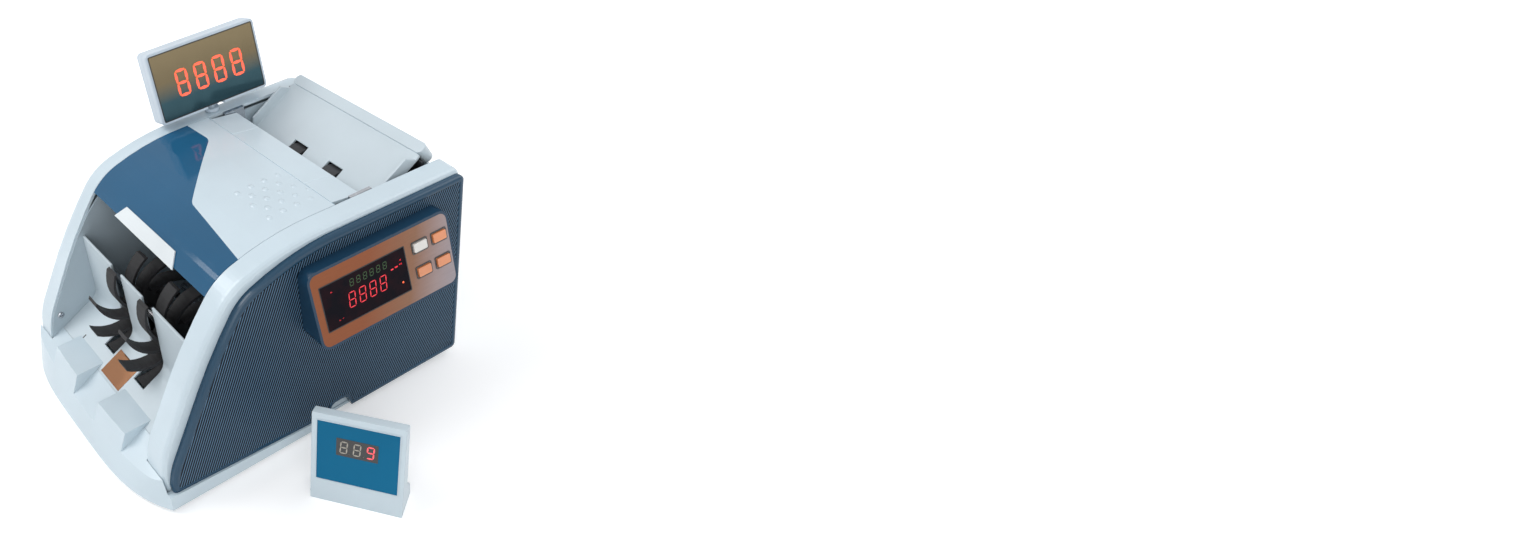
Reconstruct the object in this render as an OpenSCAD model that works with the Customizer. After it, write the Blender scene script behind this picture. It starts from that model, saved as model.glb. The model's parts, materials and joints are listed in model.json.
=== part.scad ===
// Banknote counting machine with a swivelling pop-up display and a separate desk display.
// Millimetres. +X is the control-panel side, -Y the stacker side, +Z up, z = 0 the desk.
// Modules work in the machine's own frame: x = 0 is its middle plane and y = 0 the front
// corner of a side panel's foot. at_desk() moves all to the middle of the set's footprint.

/* [Body] */
// Half of the width over the side panels, at their foot
body_half_w = 122.8; // [118:0.1:128]
// Half of the clear width between the two side frames
inner_half_w = 92; // [90:0.5:94]
// Lean of the side walls towards the middle, in degrees
side_lean = 2; // [1:0.1:3]
// Rear face of the machine, at the desk
rear_y = 278.6; // [265:0.1:295]
// Lean of the rear face towards the back, in degrees
rear_lean = 3.4; // [2:0.1:4]
// Height of the upright foot of the pillars' front face
pillar_foot_h = 17; // [10:0.5:22]
// Radii of the front curve, from the foot to the deck
front_radii = [75, 900, 450, 340, 55, 210];
// Turns of the front curve that belong to those radii, in degrees
front_turns = [28, 3, 6, 3, 32, 19];
// Radius of the deck's rear edge
rear_edge_r = 8; // [5:0.5:12]
// Radius of the bottom's rear edge
heel_r = 6; // [4:0.5:10]
// Wall of the moulded covers
wall = 2.5; // [2:0.1:3]
// Rounding of the side frames' outer edges
frame_edge_r = 5; // [3:0.5:7]

/* [Side panels] */
// Thickness of a side panel
panel_t = 6; // [5:0.1:7]
// Width of the light pillar ahead of a panel's foot
band_foot = 4.5; // [3:0.1:6]
// Width of the light band at the middle of the front curve
band_mid = 11; // [8:0.1:13]
// Width of the light band above a panel
band_deck = 5; // [3:0.1:7]
// Height of a panel's lower edge at its front corner
panel_foot_front = 17.4; // [15:0.1:20]
// Height of a panel's lower edge ahead of the finger notch
panel_foot_mid = 10.4; // [9:0.1:12]
// Height of a panel's lower edge behind the finger notch
panel_foot_rear = 5; // [4:0.1:7]
// Front end of the finger notch
notch_y = 142; // [120:1:160]
// Length of the finger notch
notch_l = 24; // [18:1:30]
// Height of the finger notch's top
notch_top = 19; // [17:0.5:24]
// Rounding of a panel's rim
panel_rim = 3; // [2:0.1:4]

/* [Base] */
// Height of the rubber feet
foot_h = 3.5; // [3:0.1:4.5]
// Radius of a rubber foot
foot_r = 7; // [5:0.5:9]
// Thickness of the base plate
base_t = 2.5; // [2:0.1:3]
// Half of the base's width at the desk
base_half_w = 124.5; // [124.3:0.1:130]
// How far the front lip bows out ahead of the pillars, at the desk
lip_bow = 21.5; // [16:0.5:26]
// How far the top of the front lip bows out ahead of the pillars
lip_top_bow = 5.5; // [4:0.5:9]
// Height of the two note rests of the lip
rest_top = 39.5; // [38.5:0.1:42]
// Half of the gap between the two note rests
rest_in = 20; // [16:0.5:24]
// Outer end of a note rest
rest_out = 65; // [58:0.5:72]
// Wall of the front lip
lip_wall = 3; // [2:0.1:4]
// Rear end of the wide part of the base
wide_end_y = 142; // [120:1:160]
// Half of the base's width behind its wide part
base_rear_half_w = 117; // [112:0.5:117]
// Distance of a foot's middle from the machine's middle
foot_x = 82; // [70:1:88]
// Middle of the front feet, from the panels' front corner
foot_front_y = 20; // [12:1:40]
// Middle of the rear feet, from the panels' front corner
foot_rear_y = 262; // [240:1:268]

/* [Stacker] */
// Height of the stacker floor where the front lip meets it
floor_z = 36; // [34.5:0.1:37]
// Where the front lip meets the stacker floor
floor_y = 8; // [6:0.5:10]
// Rise of the stacker floor, in degrees
floor_rise = 27.5; // [25:0.5:30]
// Radius of the bend between the stacker's floor and its back wall
floor_bend_r = 12; // [8:0.5:16]
// Inner face of the stacker's back wall
back_wall_y = 46; // [44:0.5:47.5]
// Height of the stacker's back wall
back_wall_top = 118; // [100:1:125]
// Thickness of the stacker's floor and back wall
stacker_t = 2; // [1.5:0.1:2.5]
// Half of the width of the smoked sensor window in the stacker floor
sensor_half_w = 16; // [12:0.5:17]
// Length of the smoked sensor window
sensor_l = 24; // [18:0.5:26]

/* [Impeller] */
// Shaft centre, from the panels' front corner
impeller_y = 62; // [60:0.5:64]
// Height of the impeller shaft
impeller_z = 75; // [73:0.5:77]
// Radius over the fingers
impeller_r = 47; // [44:0.5:48]
// Radius of a wheel's hub
impeller_hub_r = 15; // [12:0.5:18]
// Number of fingers of a wheel
finger_n = 10; // [6:1:12]
// Thickness of a finger
finger_t = 3; // [2:0.1:4]
// Width of a wheel
impeller_w = 14; // [10:0.5:16]
// Distance of a wheel's middle from the machine's middle
impeller_x = 27; // [25:0.5:29]
// Gap between a wheel and the sides of its slot
slot_gap = 1.5; // [1:0.1:2.5]

/* [Feed] */
// Feed shaft, from the panels' front corner
feed_y = 186; // [183:0.5:188]
// Height of the feed shaft
feed_z = 119; // [117:0.5:120]
// Radius of the feed rollers
feed_r = 24; // [22:0.5:25]
// Width of a feed roller
feed_w = 11; // [8:0.5:14]
// Distance between feed rollers
feed_pitch = 24; // [20:0.5:26]
// Number of feed rollers
feed_n = 6; // [4:2:6]
// Radius of all roller shafts
shaft_r = 4; // [3:0.1:5]
// Radial running clearance of the shafts
shaft_gap = 0.05; // [0.02:0.01:0.09]
// Radius of the pickup rollers
pickup_r = 13; // [11:0.5:14]
// How far the pickup rollers stand out of the hopper tray
pickup_lift = 1.5; // [1:0.1:2]
// Distance of a pickup roller's middle from the machine's middle
pickup_x = 24; // [20:0.5:30]
// Width of a pickup roller
pickup_w = 16; // [12:0.5:18]
// Radius of the pinch rollers
pinch_r = 8; // [7:0.1:9]
// Where the pinch rollers meet the feed rollers, in degrees from straight up
pinch_angle = 52; // [48:1:56]
// Gap between rollers, and between the feed rollers and the separator
nip = 0.3; // [0.2:0.05:0.5]
// Distance of the pickup rollers from the lower end of the hopper tray
pickup_s = 15; // [13:0.5:20]
// Half of the width of the separator block
retard_half_w = 20; // [12:0.5:24]
// Top of the separator block above the feed shaft
retard_top = 41; // [36:0.5:43]
// How far the separator reaches ahead of the feed shaft
retard_front = 6; // [4:0.5:8]
// How far the separator reaches behind the feed shaft
retard_rear = 10; // [8:0.5:12]

/* [Drive] */
// Motor shaft, from the panels' front corner
motor_y = 222; // [216:1:226]
// Height of the motor shaft
motor_z = 42; // [38:1:46]
// Radius of the motor
motor_r = 24; // [20:0.5:26]
// Length of the motor
motor_l = 62; // [50:1:70]
// Radius of the motor pulley's groove
motor_pulley_r = 8; // [7:0.5:10]
// Radius of the three grooves of the feed shaft's pulley
feed_pulley_r = 15; // [13:0.5:16]
// Radius of the groove of the pickup shaft's pulley
pickup_pulley_r = 9; // [8:0.5:10]
// Radius of the groove of the impeller shaft's pulley
impeller_pulley_r = 13; // [11:0.5:14]
// Width of a belt
belt_w = 3.5; // [3:0.1:3.7]
// Thickness of a belt
belt_t = 1.6; // [1.2:0.1:2]
// Height of a pulley's flange above its groove
flange_h = 2.6; // [2.4:0.1:3]

/* [Electronics] */
// Length of the main board
board_l = 120; // [90:1:140]
// Height of the main board
board_h = 75; // [50:1:80]
// Thickness of the main board
board_t = 1.6; // [1.2:0.1:2]
// Front edge of the main board
board_y = 100; // [80:1:120]
// Lower edge of the main board
board_z = 25; // [20:1:30]
// Distance of the main board from the inner side plate
board_off = 5; // [3:0.5:6]
// Width of the transformer
trafo_w = 50; // [40:1:56]
// Length of the transformer
trafo_l = 46; // [36:1:50]
// Height of the transformer
trafo_h = 42; // [30:1:46]
// Middle of the transformer, across
trafo_x = 50; // [45:1:55]
// Middle of the transformer, along
trafo_y = 213; // [205:1:216]

/* [Top cover] */
// Gap between the cover and the side frames
cover_gap = 0.5; // [0.4:0.1:0.8]
// Lower edge of the visor, from the panels' front corner
visor_y = 65.4; // [62:0.1:70]
// Height of the visor's lower edge
visor_z = 153.3; // [150:0.1:156]
// Left end of the visor's rear edge
visor_left_y = 161.5; // [150:0.5:170]
// Upper corner of the visor's rear edge, from the middle
visor_step_x = -57.6; // [-70:0.5:-45]
// Upper corner of the visor's rear edge, from the front
visor_step_y = 163.4; // [152:0.5:172]
// Lower corner of the visor's rear edge, from the middle
visor_low_x = 9.1; // [0:0.5:20]
// Lower corner of the visor's rear edge, from the front
visor_low_y = 106.4; // [100:0.5:115]
// Right end of the visor's rear edge
visor_right_y = 96.5; // [92:0.5:105]
// Rounding of the two corners of the visor's rear edge
visor_round = 13; // [6:0.5:18]
// Front end of the two slots beside the rear bar
bar_y = 183; // [178:0.5:188]
// Rear edge of the cover
cover_rear_y = 209; // [207:0.5:211]
// Width of the slots beside the rear bar
bar_slot = 4; // [3:0.1:5]
// Depth of the bar's rear lip
bar_lip = 7; // [6.5:0.1:8]
// Fall of the rear bar over its width
bar_fall = 3.5; // [2:0.1:5]
// Hinge axis of the cover, from the panels' front corner
hinge_y = 205.5; // [204:0.1:206]
// Height of the cover's hinge axis
hinge_z = 171; // [170.5:0.1:171.5]
// Radius of the cover's hinge pins
hinge_pin_r = 2; // [1.5:0.1:2.5]
// Length of the sign plate's lower edge
sign_w = 96; // [80:1:110]
// Length of the sign plate's upper edge
sign_top_w = 79; // [66:1:90]
// Height of the sign plate
sign_h = 12.4; // [9:0.1:14]
// Thickness of the sign plate
sign_t = 1.4; // [1:0.1:2]

/* [Hopper] */
// Lower end of the hopper tray's top face, from the panels' front corner
tray_y = 211; // [209:0.5:213]
// Height of the hopper tray's lower end
tray_z = 148.5; // [147:0.1:150]
// Rise of the hopper tray, in degrees
tray_rise = 31; // [29:0.5:33]
// Length of the hopper tray along its slope
tray_l = 78; // [74:0.5:82]
// Half of the width of the hopper tray
tray_half_w = 86; // [82:0.5:88]
// Thickness of the hopper tray
tray_t = 2.5; // [2:0.1:3]
// Width of the rounded bar along the tray's upper end
tray_bar_w = 10; // [8:0.5:12]
// Height of the rounded bar
tray_bar_h = 15; // [13:0.5:16]
// Rounding of the tray's two upper corners
tray_corner_r = 15; // [10:0.5:20]
// Height of the tray's raised sides
tray_side_h = 9; // [6:0.5:12]
// Half of the width of the feed opening in the hopper's front wall
mouth_half_w = 66; // [63:0.5:72]
// Lower edge of the hopper's front wall, over the feed opening
mouth_top = 152; // [150:0.5:154]
// Rear face of the hopper's front wall
hopper_wall_y = 205; // [203.5:0.5:206]
// Top of the hopper's front wall
hopper_wall_top = 165; // [163:0.5:165.5]

/* [Rear face] */
// Seam between the rear panel and the upper cover
seam_z = 120.6; // [112:0.1:126]
// Top edge of the rear upper cover
rear_top_z = 164.5; // [158:0.1:168]
// Gap between neighbouring covers
seam = 0.4; // [0.3:0.1:0.6]
// Distance between the two screws of the rear panel
rear_screw_pitch = 83; // [60:1:110]
// Height of the rear panel's screws and of the gap adjuster
rear_screw_z = 108; // [100:0.5:110]
// Middle of each column of vent slits
vent_x = [66.5, 43, 20];
// Length of a vent slit
vent_w = 16; // [12:0.5:17]
// Height of a vent slit
vent_h = 2.4; // [2:0.1:3]
// Distance between vent slits
vent_pitch = 5; // [4:0.1:5]
// Number of vent slits in a column
vent_n = 9; // [5:1:9]
// Height of the lowest vent slit
vent_z = 12; // [10:0.5:14]
// Middle of the port recess
port_x = -48; // [-49:0.5:-46]
// Width of the port recess
port_w = 78; // [74:0.5:80]
// Lower edge of the port recess
port_z = 13; // [11:0.5:13]
// Height of the port recess
port_h = 67; // [64:0.5:72]
// Depth of the port recess
port_d = 2; // [1.5:0.1:3]
// Height of the step across the port recess
port_step_z = 57; // [56:0.5:58]
// Height of that step
port_step = 1; // [0.5:0.1:1.2]

/* [Rear fittings] */
// Middle of the mains inlet
inlet_x = -32.5; // [-34:0.5:-31]
// Height of the mains inlet's middle
inlet_z = 34.5; // [34:0.5:36]
// Width of the inlet's flange over its two ears
inlet_w = 47; // [46:0.5:48]
// Height of the inlet's flange
inlet_h = 39; // [37:0.5:41]
// Distance between the inlet's two screws
inlet_screw_pitch = 40; // [39:0.1:40.5]
// Middle of the rocker switch
rocker_x = -32.7; // [-34:0.5:-31]
// Height of the rocker switch's middle
rocker_z = 68.3; // [67:0.1:69.5]
// Width of the rocker switch's frame
rocker_w = 22.5; // [21:0.1:24]
// Height of the rocker switch's frame
rocker_h = 16.4; // [15:0.1:17.5]
// Swing of the rocker to each side, in degrees
rocker_tilt = 7; // [5:0.5:9]
// Middle of the data port
data_x = -64.5; // [-66:0.5:-63]
// Height of the data port's middle
data_z = 68.5; // [67:0.5:70]
// Width of the data port's shell
data_w = 18; // [16:0.5:20]
// Radius of the gap adjuster's ring
ring_r = 6; // [5.5:0.1:6.5]
// Radius of the gap adjuster's screw head
adjuster_r = 4; // [3.5:0.1:4.5]

/* [Control pod] */
// Distance of the control face's lower edge from the foot of the side panel
face_x = 21.4; // [17.2:0.1:25.2]
// Height of the control face's lower edge
face_z = 102.2; // [98:0.1:106]
// Tilt of the control face, in degrees
face_tilt = 15.4; // [13:0.1:18]
// Height of the control face along its slope
face_h = 58.2; // [54:0.1:60]
// Front end of the control face
face_y = 130; // [120:0.5:140]
// Length of the control face
face_l = 126.6; // [122:0.1:132]
// Rounding of the control face's corners
face_r = 6; // [4:0.5:8]
// Thickness of the face plate
face_t = 1.5; // [1.2:0.1:2]
// Dark rim of the pod around the face plate
pod_rim = 2.2; // [1.5:0.1:3]
// Front end of the control window, from the front end of the face
window_in = 6.5; // [6:0.5:9]
// Length of the control window
window_l = 77; // [70:0.5:80]
// Lower edge of the control window, from the lower edge of the face
window_z = 11.5; // [9:0.5:13]
// Height of the control window
window_h = 35.5; // [30:0.5:37]
// Middle of the front column of keys, from the rear end of the face
key_in = 28.3; // [26:0.1:30]
// Distance between the two columns of keys
key_pitch_y = 18.8; // [17:0.1:19.5]
// Middle of the lower row of keys, from the lower edge of the face
key_low = 21.5; // [18:0.5:24]
// Distance between the two rows of keys
key_pitch_z = 20.4; // [17:0.1:23]
// Length of a key
key_l = 12.4; // [10:0.1:13.5]
// Height of a key
key_h = 7.2; // [6:0.1:9]
// How far a key stands out of the face plate
key_out = 1.8; // [1.6:0.1:2.4]
// Travel of a key
key_travel = 1.2; // [0.8:0.1:1.4]
// Gap around a key
key_gap = 0.4; // [0.3:0.05:0.6]

/* [Pop-up display] */
// Distance of the display's turning axis from the inner side plate's outer face
display_x = 10.5; // [9:0.1:12]
// The display's turning axis, from the panels' front corner
display_y = 193.2; // [185:0.1:200]
// Lean of the display, in degrees
display_lean = 13; // [8:0.5:16]
// Length of the display's case
display_l = 107; // [98:0.5:112]
// Height of the display's case
display_h = 62; // [56:0.5:68]
// Distance of the display's face from its tilt axis
display_face = 9.8; // [9:0.1:11]
// Drop of the case's lower edge below the tilt axis
display_drop = 2.7; // [2:0.1:3]
// Width of the gap for the knuckle in the case's lower edge
display_gap_w = 17; // [15:0.5:24]
// Radius of the display's pad on the deck
pad_r = 6.5; // [5.5:0.1:7]
// Height of the display's pad
pad_h = 3.2; // [2.8:0.1:3.4]
// Radius of the tilt pin
tilt_pin_r = 1.5; // [1:0.1:2]
// Thickness of the display's case
display_t = 20; // [16:0.5:22]
// Rounding of the case's corners
display_r = 4; // [3:0.5:6]
// Frame around the display's window
display_frame = 3; // [2.5:0.1:4]
// Height of the display's tilt axis above the desk
display_axis_z = 186.5; // [185.5:0.1:188]
// Radius of the tilt knuckle
knuckle_r = 3.5; // [3:0.1:4]

/* [Desk display] */
// Lower left corner of the desk display's face, from the middle plane
remote_x = 174.3; // [168:0.1:180]
// Lower left corner of the desk display's face, from the panels' front corner
remote_y = 85.6; // [78:0.1:92]
// Turn of the desk display, in degrees
remote_turn = 35.4; // [30:0.1:40]
// Lean of the desk display's face, in degrees
remote_lean = 14.5; // [10:0.5:18]
// Width of the desk display
remote_w = 70.6; // [64:0.2:76]
// Height of the desk display along its face
remote_h = 75; // [68:0.5:80]
// Thickness of the desk display's head
remote_t = 9; // [8:0.5:12]
// Length of the desk display's foot behind its face
remote_foot_l = 25; // [22:0.5:32]
// Side frame of the desk display's window
remote_frame = 4.4; // [3:0.1:6]
// Lower edge of the desk display's window
remote_sill = 19; // [16:0.5:22]
// Height of the desk display's window
remote_window_h = 50.5; // [44:0.5:51]

/* [Hidden] */
$fn = 64;
eps = 0.01;
base_top = foot_h + base_t;
screw_r = 1.5;
tilt_t = tan(rear_lean);
turn_gap = 0.3;     // between parts that move past one another
fit_gap = 0.4;      // around covers and buttons

// ---- side outline: points [y, z, heading], heading 0 up, 90 to the rear ----
function arc_end(p, r, t) =
    [p[0] + r * (cos(p[2]) - cos(p[2] + t)), p[1] + r * (sin(p[2] + t) - sin(p[2])), p[2] + t];
function arc(p, r, t, n) = [for (k = [1:n]) arc_end(p, r, t * k / n)];
function chain(p, i = 0) = i == len(front_radii) ? [] :
    concat(arc(p, front_radii[i], front_turns[i], ceil(front_turns[i] / 4)),
        chain(arc_end(p, front_radii[i], front_turns[i]), i + 1));
foot_point = [-band_foot, base_top + pillar_foot_h, 0];
arch = concat([foot_point], chain(foot_point));
deck_end = arch[len(arch) - 1];
deck_h = deck_end[2];
rear_h = 180 + rear_lean;
deck_run = (rear_y + deck_end[1] * tilt_t - deck_end[0]) / (sin(deck_h) - cos(deck_h) * tilt_t);
deck_tangent = deck_run - rear_edge_r * tan((rear_h - deck_h) / 2);
corner_point = [deck_end[0] + deck_tangent * sin(deck_h),
    deck_end[1] + deck_tangent * cos(deck_h), deck_h];
heel_tangent = heel_r * tan((270 - rear_h) / 2);
heel_point = [rear_y + base_top * tilt_t - heel_tangent * sin(rear_h),
    base_top - heel_tangent * cos(rear_h), rear_h];
outline = concat([[-band_foot, base_top, 0]], arch, [corner_point],
    arc(corner_point, rear_edge_r, rear_h - deck_h, 10), [heel_point],
    arc(heel_point, heel_r, 270 - rear_h, 6));
function inset(p, g) = [p[0] + g * cos(p[2]), p[1] - g * sin(p[2])];
function side_outline(g) = [for (p = outline) inset(p, g)];
function side_by(table) = [for (p = outline) inset(p, lookup(p[2], table))];
deck_table = concat([for (p = arch) [p[0], p[1]]], [[corner_point[0], corner_point[1]]]);
function deck_z(y) = lookup(y, deck_table);
function deck_heading(y) = lookup(y, [for (p = arch) [p[0], p[2]]]);
function rear_at(z) = rear_y + z * tilt_t;

// ---- places of the mechanism ----
pickup_y = tray_y + pickup_s * cos(tray_rise) + (pickup_r - pickup_lift) * sin(tray_rise);
pickup_z = tray_z + pickup_s * sin(tray_rise) - (pickup_r - pickup_lift) * cos(tray_rise);
pinch_d = feed_r + nip + pinch_r;
pinch_y = feed_y - pinch_d * sin(pinch_angle);
pinch_z = feed_z + pinch_d * cos(pinch_angle);
feed_x = [for (i = [0:feed_n - 1]) (i - (feed_n - 1) / 2) * feed_pitch];
chassis_t = 2;
chassis_in = inner_half_w - chassis_t;
rods = [[24, 18], [130, 20], [246, 20], [256, 120]];
rod_r = 4;
wall_screw = [9, 50];
bracket_t = 1.8;
bracket_in = chassis_in - bracket_t;
bracket_screw = [208.5, 158];
motor_shaft_r = 3;
groove_w = belt_w + 0.3;
flange_w = 0.9;
pulley_in = inner_half_w + 1.2;
plane_pitch = groove_w + flange_w;

// ---- the set's footprint and its middle ----
post_x = inner_half_w + display_x;
remote_far = remote_x + remote_w * cos(remote_turn);
display_back = display_t - display_face;
display_top = display_h - display_drop;
display_far = min(-base_half_w,
    -post_x - display_back * cos(display_lean) - (display_top - display_r) * sin(display_lean),
    -post_x - (display_back - display_r) * cos(display_lean) - display_top * sin(display_lean));
mid_x = (remote_far + display_far) / 2;
mid_y = (max([for (p = outline) p[0]]) - band_foot - lip_bow) / 2;

module at_desk() translate([-mid_x, -mid_y, 0]) children();
module mirror_x() mirror([1, 0, 0]) children();
module both() { children(); mirror_x() children(); }
// a drawing in (y, z), extruded along +x from x
module side_x(x, h) translate([x, 0, 0]) rotate([90, 0, 90]) linear_extrude(h) children();
module rod_x(x, y, z, r, h) translate([x, y, z]) rotate([0, 90, 0]) cylinder(r = r, h = h);
module box(a, b) translate(a) cube(b - a);
module rrect(w, h, r) {
    square([w - 2 * r, h], center = true);
    square([w, h - 2 * r], center = true);
    for (x = [-1, 1], y = [-1, 1]) translate([x * (w / 2 - r), y * (h / 2 - r)]) circle(r, $fn = 32);
}
module lean_in() translate([body_half_w, 0, panel_foot_front]) rotate([0, -side_lean, 0])
    translate([0, 0, -panel_foot_front]) children();
module rear_in(x = 0, z = 0) translate([0, rear_y, 0]) rotate([-rear_lean, 0, 0])
    translate([x, 0, z]) children();
// a drawing in (x, z), extruded along +y from y
module rear_plate(y, h) translate([0, y, 0]) rotate([90, 0, 180]) mirror([1, 0, 0]) linear_extrude(h) children();
module pod_in() translate([body_half_w + face_x, face_y, face_z]) rotate([0, -face_tilt, 0]) children();
module tray_in() translate([0, tray_y, tray_z]) rotate([tray_rise, 0, 0]) children();
module display_in() translate([-post_x, display_y, display_axis_z])
    rotate([0, -display_lean, 0]) children();
module remote_in() translate([remote_x, remote_y, 0]) rotate([0, 0, remote_turn]) children();

// ---- base ----
function lip_front(half, bow, y0, n) = [for (k = [-12:12]) [half * k / 12, y0 - bow * (1 - pow(abs(k / 12), n))]];
module lip_hull(g, y1) hull() {
    translate([0, 0, foot_h]) linear_extrude(eps)
        polygon(concat(lip_front(base_half_w - g, lip_bow, g - band_foot, 4),
            [[base_half_w - g, y1], [g - base_half_w, y1]]));
    translate([0, 0, rest_top - eps]) linear_extrude(eps)
        polygon(concat(lip_front(base_half_w * 0.9 - g, lip_top_bow, g - band_foot, 2),
            [[base_half_w * 0.9 - g, y1], [g - base_half_w * 0.9, y1]]));
}
floor_t = tan(floor_rise);
rest_back = floor_y + (rest_top - floor_z) / floor_t;
module base_tray() color("gainsboro") at_desk() {
    difference() {
        intersection() {
            lip_hull(0, rest_back + 1);
            union() {
                side_x(-base_half_w - 1, 2 * base_half_w + 2)
                    polygon([[-60, foot_h], [floor_y, foot_h], [floor_y, floor_z],
                        [-60, floor_z - (60 + floor_y) * floor_t]]);
                both() side_x(rest_in, rest_out - rest_in)
                    polygon([[-60, foot_h], [floor_y, foot_h], [floor_y, floor_z],
                        [rest_back, rest_top], [-60, rest_top]]);
            }
        }
        intersection() {
            lip_hull(lip_wall, floor_y + 2);
            side_x(lip_wall - chassis_in, 2 * (chassis_in - lip_wall))
                polygon([[-60, base_top], [floor_y + 1, base_top], [floor_y + 1, floor_z - lip_wall],
                    [-60, floor_z - lip_wall - (61 + floor_y) * floor_t]]);
        }
        both() box([chassis_in, -band_foot, base_top], [base_half_w + 1, rest_back + 2, rest_top + 1]);
        box([-base_half_w - 1, -band_foot, 0], [base_half_w + 1, rest_back + 2, base_top]);
    }
    box([-base_half_w, -band_foot, foot_h], [base_half_w, wide_end_y, base_top]);
    box([-base_rear_half_w, wide_end_y, foot_h], [base_rear_half_w, rear_y, base_top]);
    both() side_x(body_half_w - panel_t + fit_gap * 2, base_half_w - body_half_w + panel_t - fit_gap * 2)
        polygon([[-band_foot, base_top], [wide_end_y, base_top], [wide_end_y, panel_foot_mid - fit_gap],
            [0, panel_foot_front - fit_gap], [-band_foot, panel_foot_front - fit_gap]]);
}

module feet() color("dimgray") at_desk()
    for (x = [-foot_x, foot_x], y = [foot_front_y, foot_rear_y]) translate([x, y, 0]) {
        cylinder(r1 = foot_r - 1, r2 = foot_r, h = 1);
        translate([0, 0, 1]) cylinder(r = foot_r, h = foot_h - 1);
    }

// ---- side frames and panels ----
open_foot = [[0, wall], [rear_h, wall], [270, -1]];
function shifted(table, g) = [for (t = table) [t[0], t[1] + g]];
module frame_shell(x0, x1, table) hull() {
    side_x(x0, eps) polygon(side_by(table));
    lean_in() {
        for (a = [0, 25, 50, 75])
            side_x(-panel_t - x1 - frame_edge_r * (1 - sin(a)), eps)
                polygon(side_by(shifted(table, frame_edge_r * (1 - cos(a)))));
        side_x(-panel_t - x1 - eps, eps)
            polygon(side_by(shifted(table, frame_edge_r * (1 - cos(75)))));
    }
}
module side_frame() difference() {
    frame_shell(inner_half_w, 0, [[0, 0], [270, 0]]);
    frame_shell(inner_half_w - 1, wall, open_foot);
    box([inner_half_w - 2, -50, -5], [body_half_w + 5, rear_y + 50, base_top]);
}
module side_frame_right() color("lightsteelblue") at_desk() side_frame();
module side_frame_left() color("lightsteelblue") at_desk() mirror_x() side_frame();

panel_gaps = [[0, band_foot], [28, band_mid], [40, band_mid - 1], [72, band_mid - 2],
    [deck_h, band_deck], [rear_h, 1], [270, 0]];
module side_panel() difference() {
    lean_in() hull() {
        side_x(-panel_t, panel_t - panel_rim) polygon(side_by(panel_gaps));
        for (a = [30, 60, 90]) side_x(-panel_rim * (1 - sin(a)) - eps, eps)
            polygon(side_by(shifted(panel_gaps, panel_rim * (1 - cos(a)))));
    }
    lean_in() side_x(-panel_t - 5, panel_t + 10)
        polygon([[-30, -20], [-30, panel_foot_front], [0, panel_foot_front],
            [notch_y, panel_foot_mid], [notch_y + 4, notch_top - 2], [notch_y + 7, notch_top],
            [notch_y + notch_l - 7, notch_top], [notch_y + notch_l - 4, notch_top - 2],
            [notch_y + notch_l, panel_foot_rear], [rear_y + 30, panel_foot_rear], [rear_y + 30, -20]]);
}
module side_panel_right() color("slategray") at_desk() side_panel();
module side_panel_left() color("slategray") at_desk() mirror_x() side_panel();

// ---- chassis ----
chassis_gaps = [[0, 1.5], [36, 1.5], [40, 2 * wall], [deck_h, 2 * wall], [deck_h + 1, 2 * wall],
    [rear_h - 0.1, 2 * wall + 1], [270, 0]];
module chassis(left) difference() {
    side_x(chassis_in, chassis_t) polygon(side_by(chassis_gaps));
    for (p = [[feed_y, feed_z], [pickup_y, pickup_z], [pinch_y, pinch_z], [impeller_y, impeller_z]])
        rod_x(chassis_in - 1, p[0], p[1], shaft_r + shaft_gap, chassis_t + 2);
    for (p = rods) rod_x(chassis_in - 1, p[0], p[1], screw_r, chassis_t + 2);
    rod_x(chassis_in - 1, wall_screw[0], wall_screw[1], screw_r, chassis_t + 2);
    rod_x(chassis_in - 1, bracket_screw[0], bracket_screw[1], screw_r, chassis_t + 2);
    if (left) rod_x(chassis_in - 1, motor_y, motor_z, motor_shaft_r + 3, chassis_t + 2);
}
module chassis_right() color("darkgray") at_desk() chassis(false);
module chassis_left() color("darkgray") at_desk() mirror_x() chassis(true);

module tie_rods() color("silver") at_desk() for (p = rods) {
    rod_x(-chassis_in, p[0], p[1], rod_r, 2 * chassis_in);
    rod_x(-inner_half_w, p[0], p[1], screw_r, 2 * inner_half_w);
    both() rod_x(inner_half_w, p[0], p[1], rod_r - 1, 1);
}

// ---- stacker ----
bend_y = back_wall_y;
bend_top = floor_z + (bend_y - floor_y) * floor_t;
bend_tangent = floor_bend_r * tan((90 - floor_rise) / 2);
function bend(g) = [for (a = [floor_rise:7.5:90]) let (c = [bend_y - floor_bend_r, bend_top + bend_tangent])
    c + (floor_bend_r + g) * [sin(a), -cos(a)]];
module stacker_tray() color("gainsboro") at_desk() difference() {
    side_x(-chassis_in, 2 * chassis_in) polygon(concat(
        [[floor_y, floor_z]], bend(0), [[bend_y, back_wall_top], [bend_y + stacker_t, back_wall_top]],
        [for (i = [len(bend(0)) - 1:-1:0]) bend(stacker_t)[i]],
        [[floor_y + stacker_t * sin(floor_rise), floor_z - stacker_t * cos(floor_rise)]]));
    for (x = [-impeller_x, impeller_x])
        rod_x(x - impeller_w / 2 - slot_gap, impeller_y, impeller_z, impeller_r + slot_gap,
            impeller_w + 2 * slot_gap);
    stacker_window_block(1);
}
window_t = 1;
module stacker_window_block(up) translate([0, floor_y, floor_z]) rotate([floor_rise, 0, 0])
    box([-sensor_half_w, 2, -window_t], [sensor_half_w, 2 + sensor_l, up]);
module stacker_window() color("saddlebrown") at_desk() stacker_window_block(0);

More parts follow.
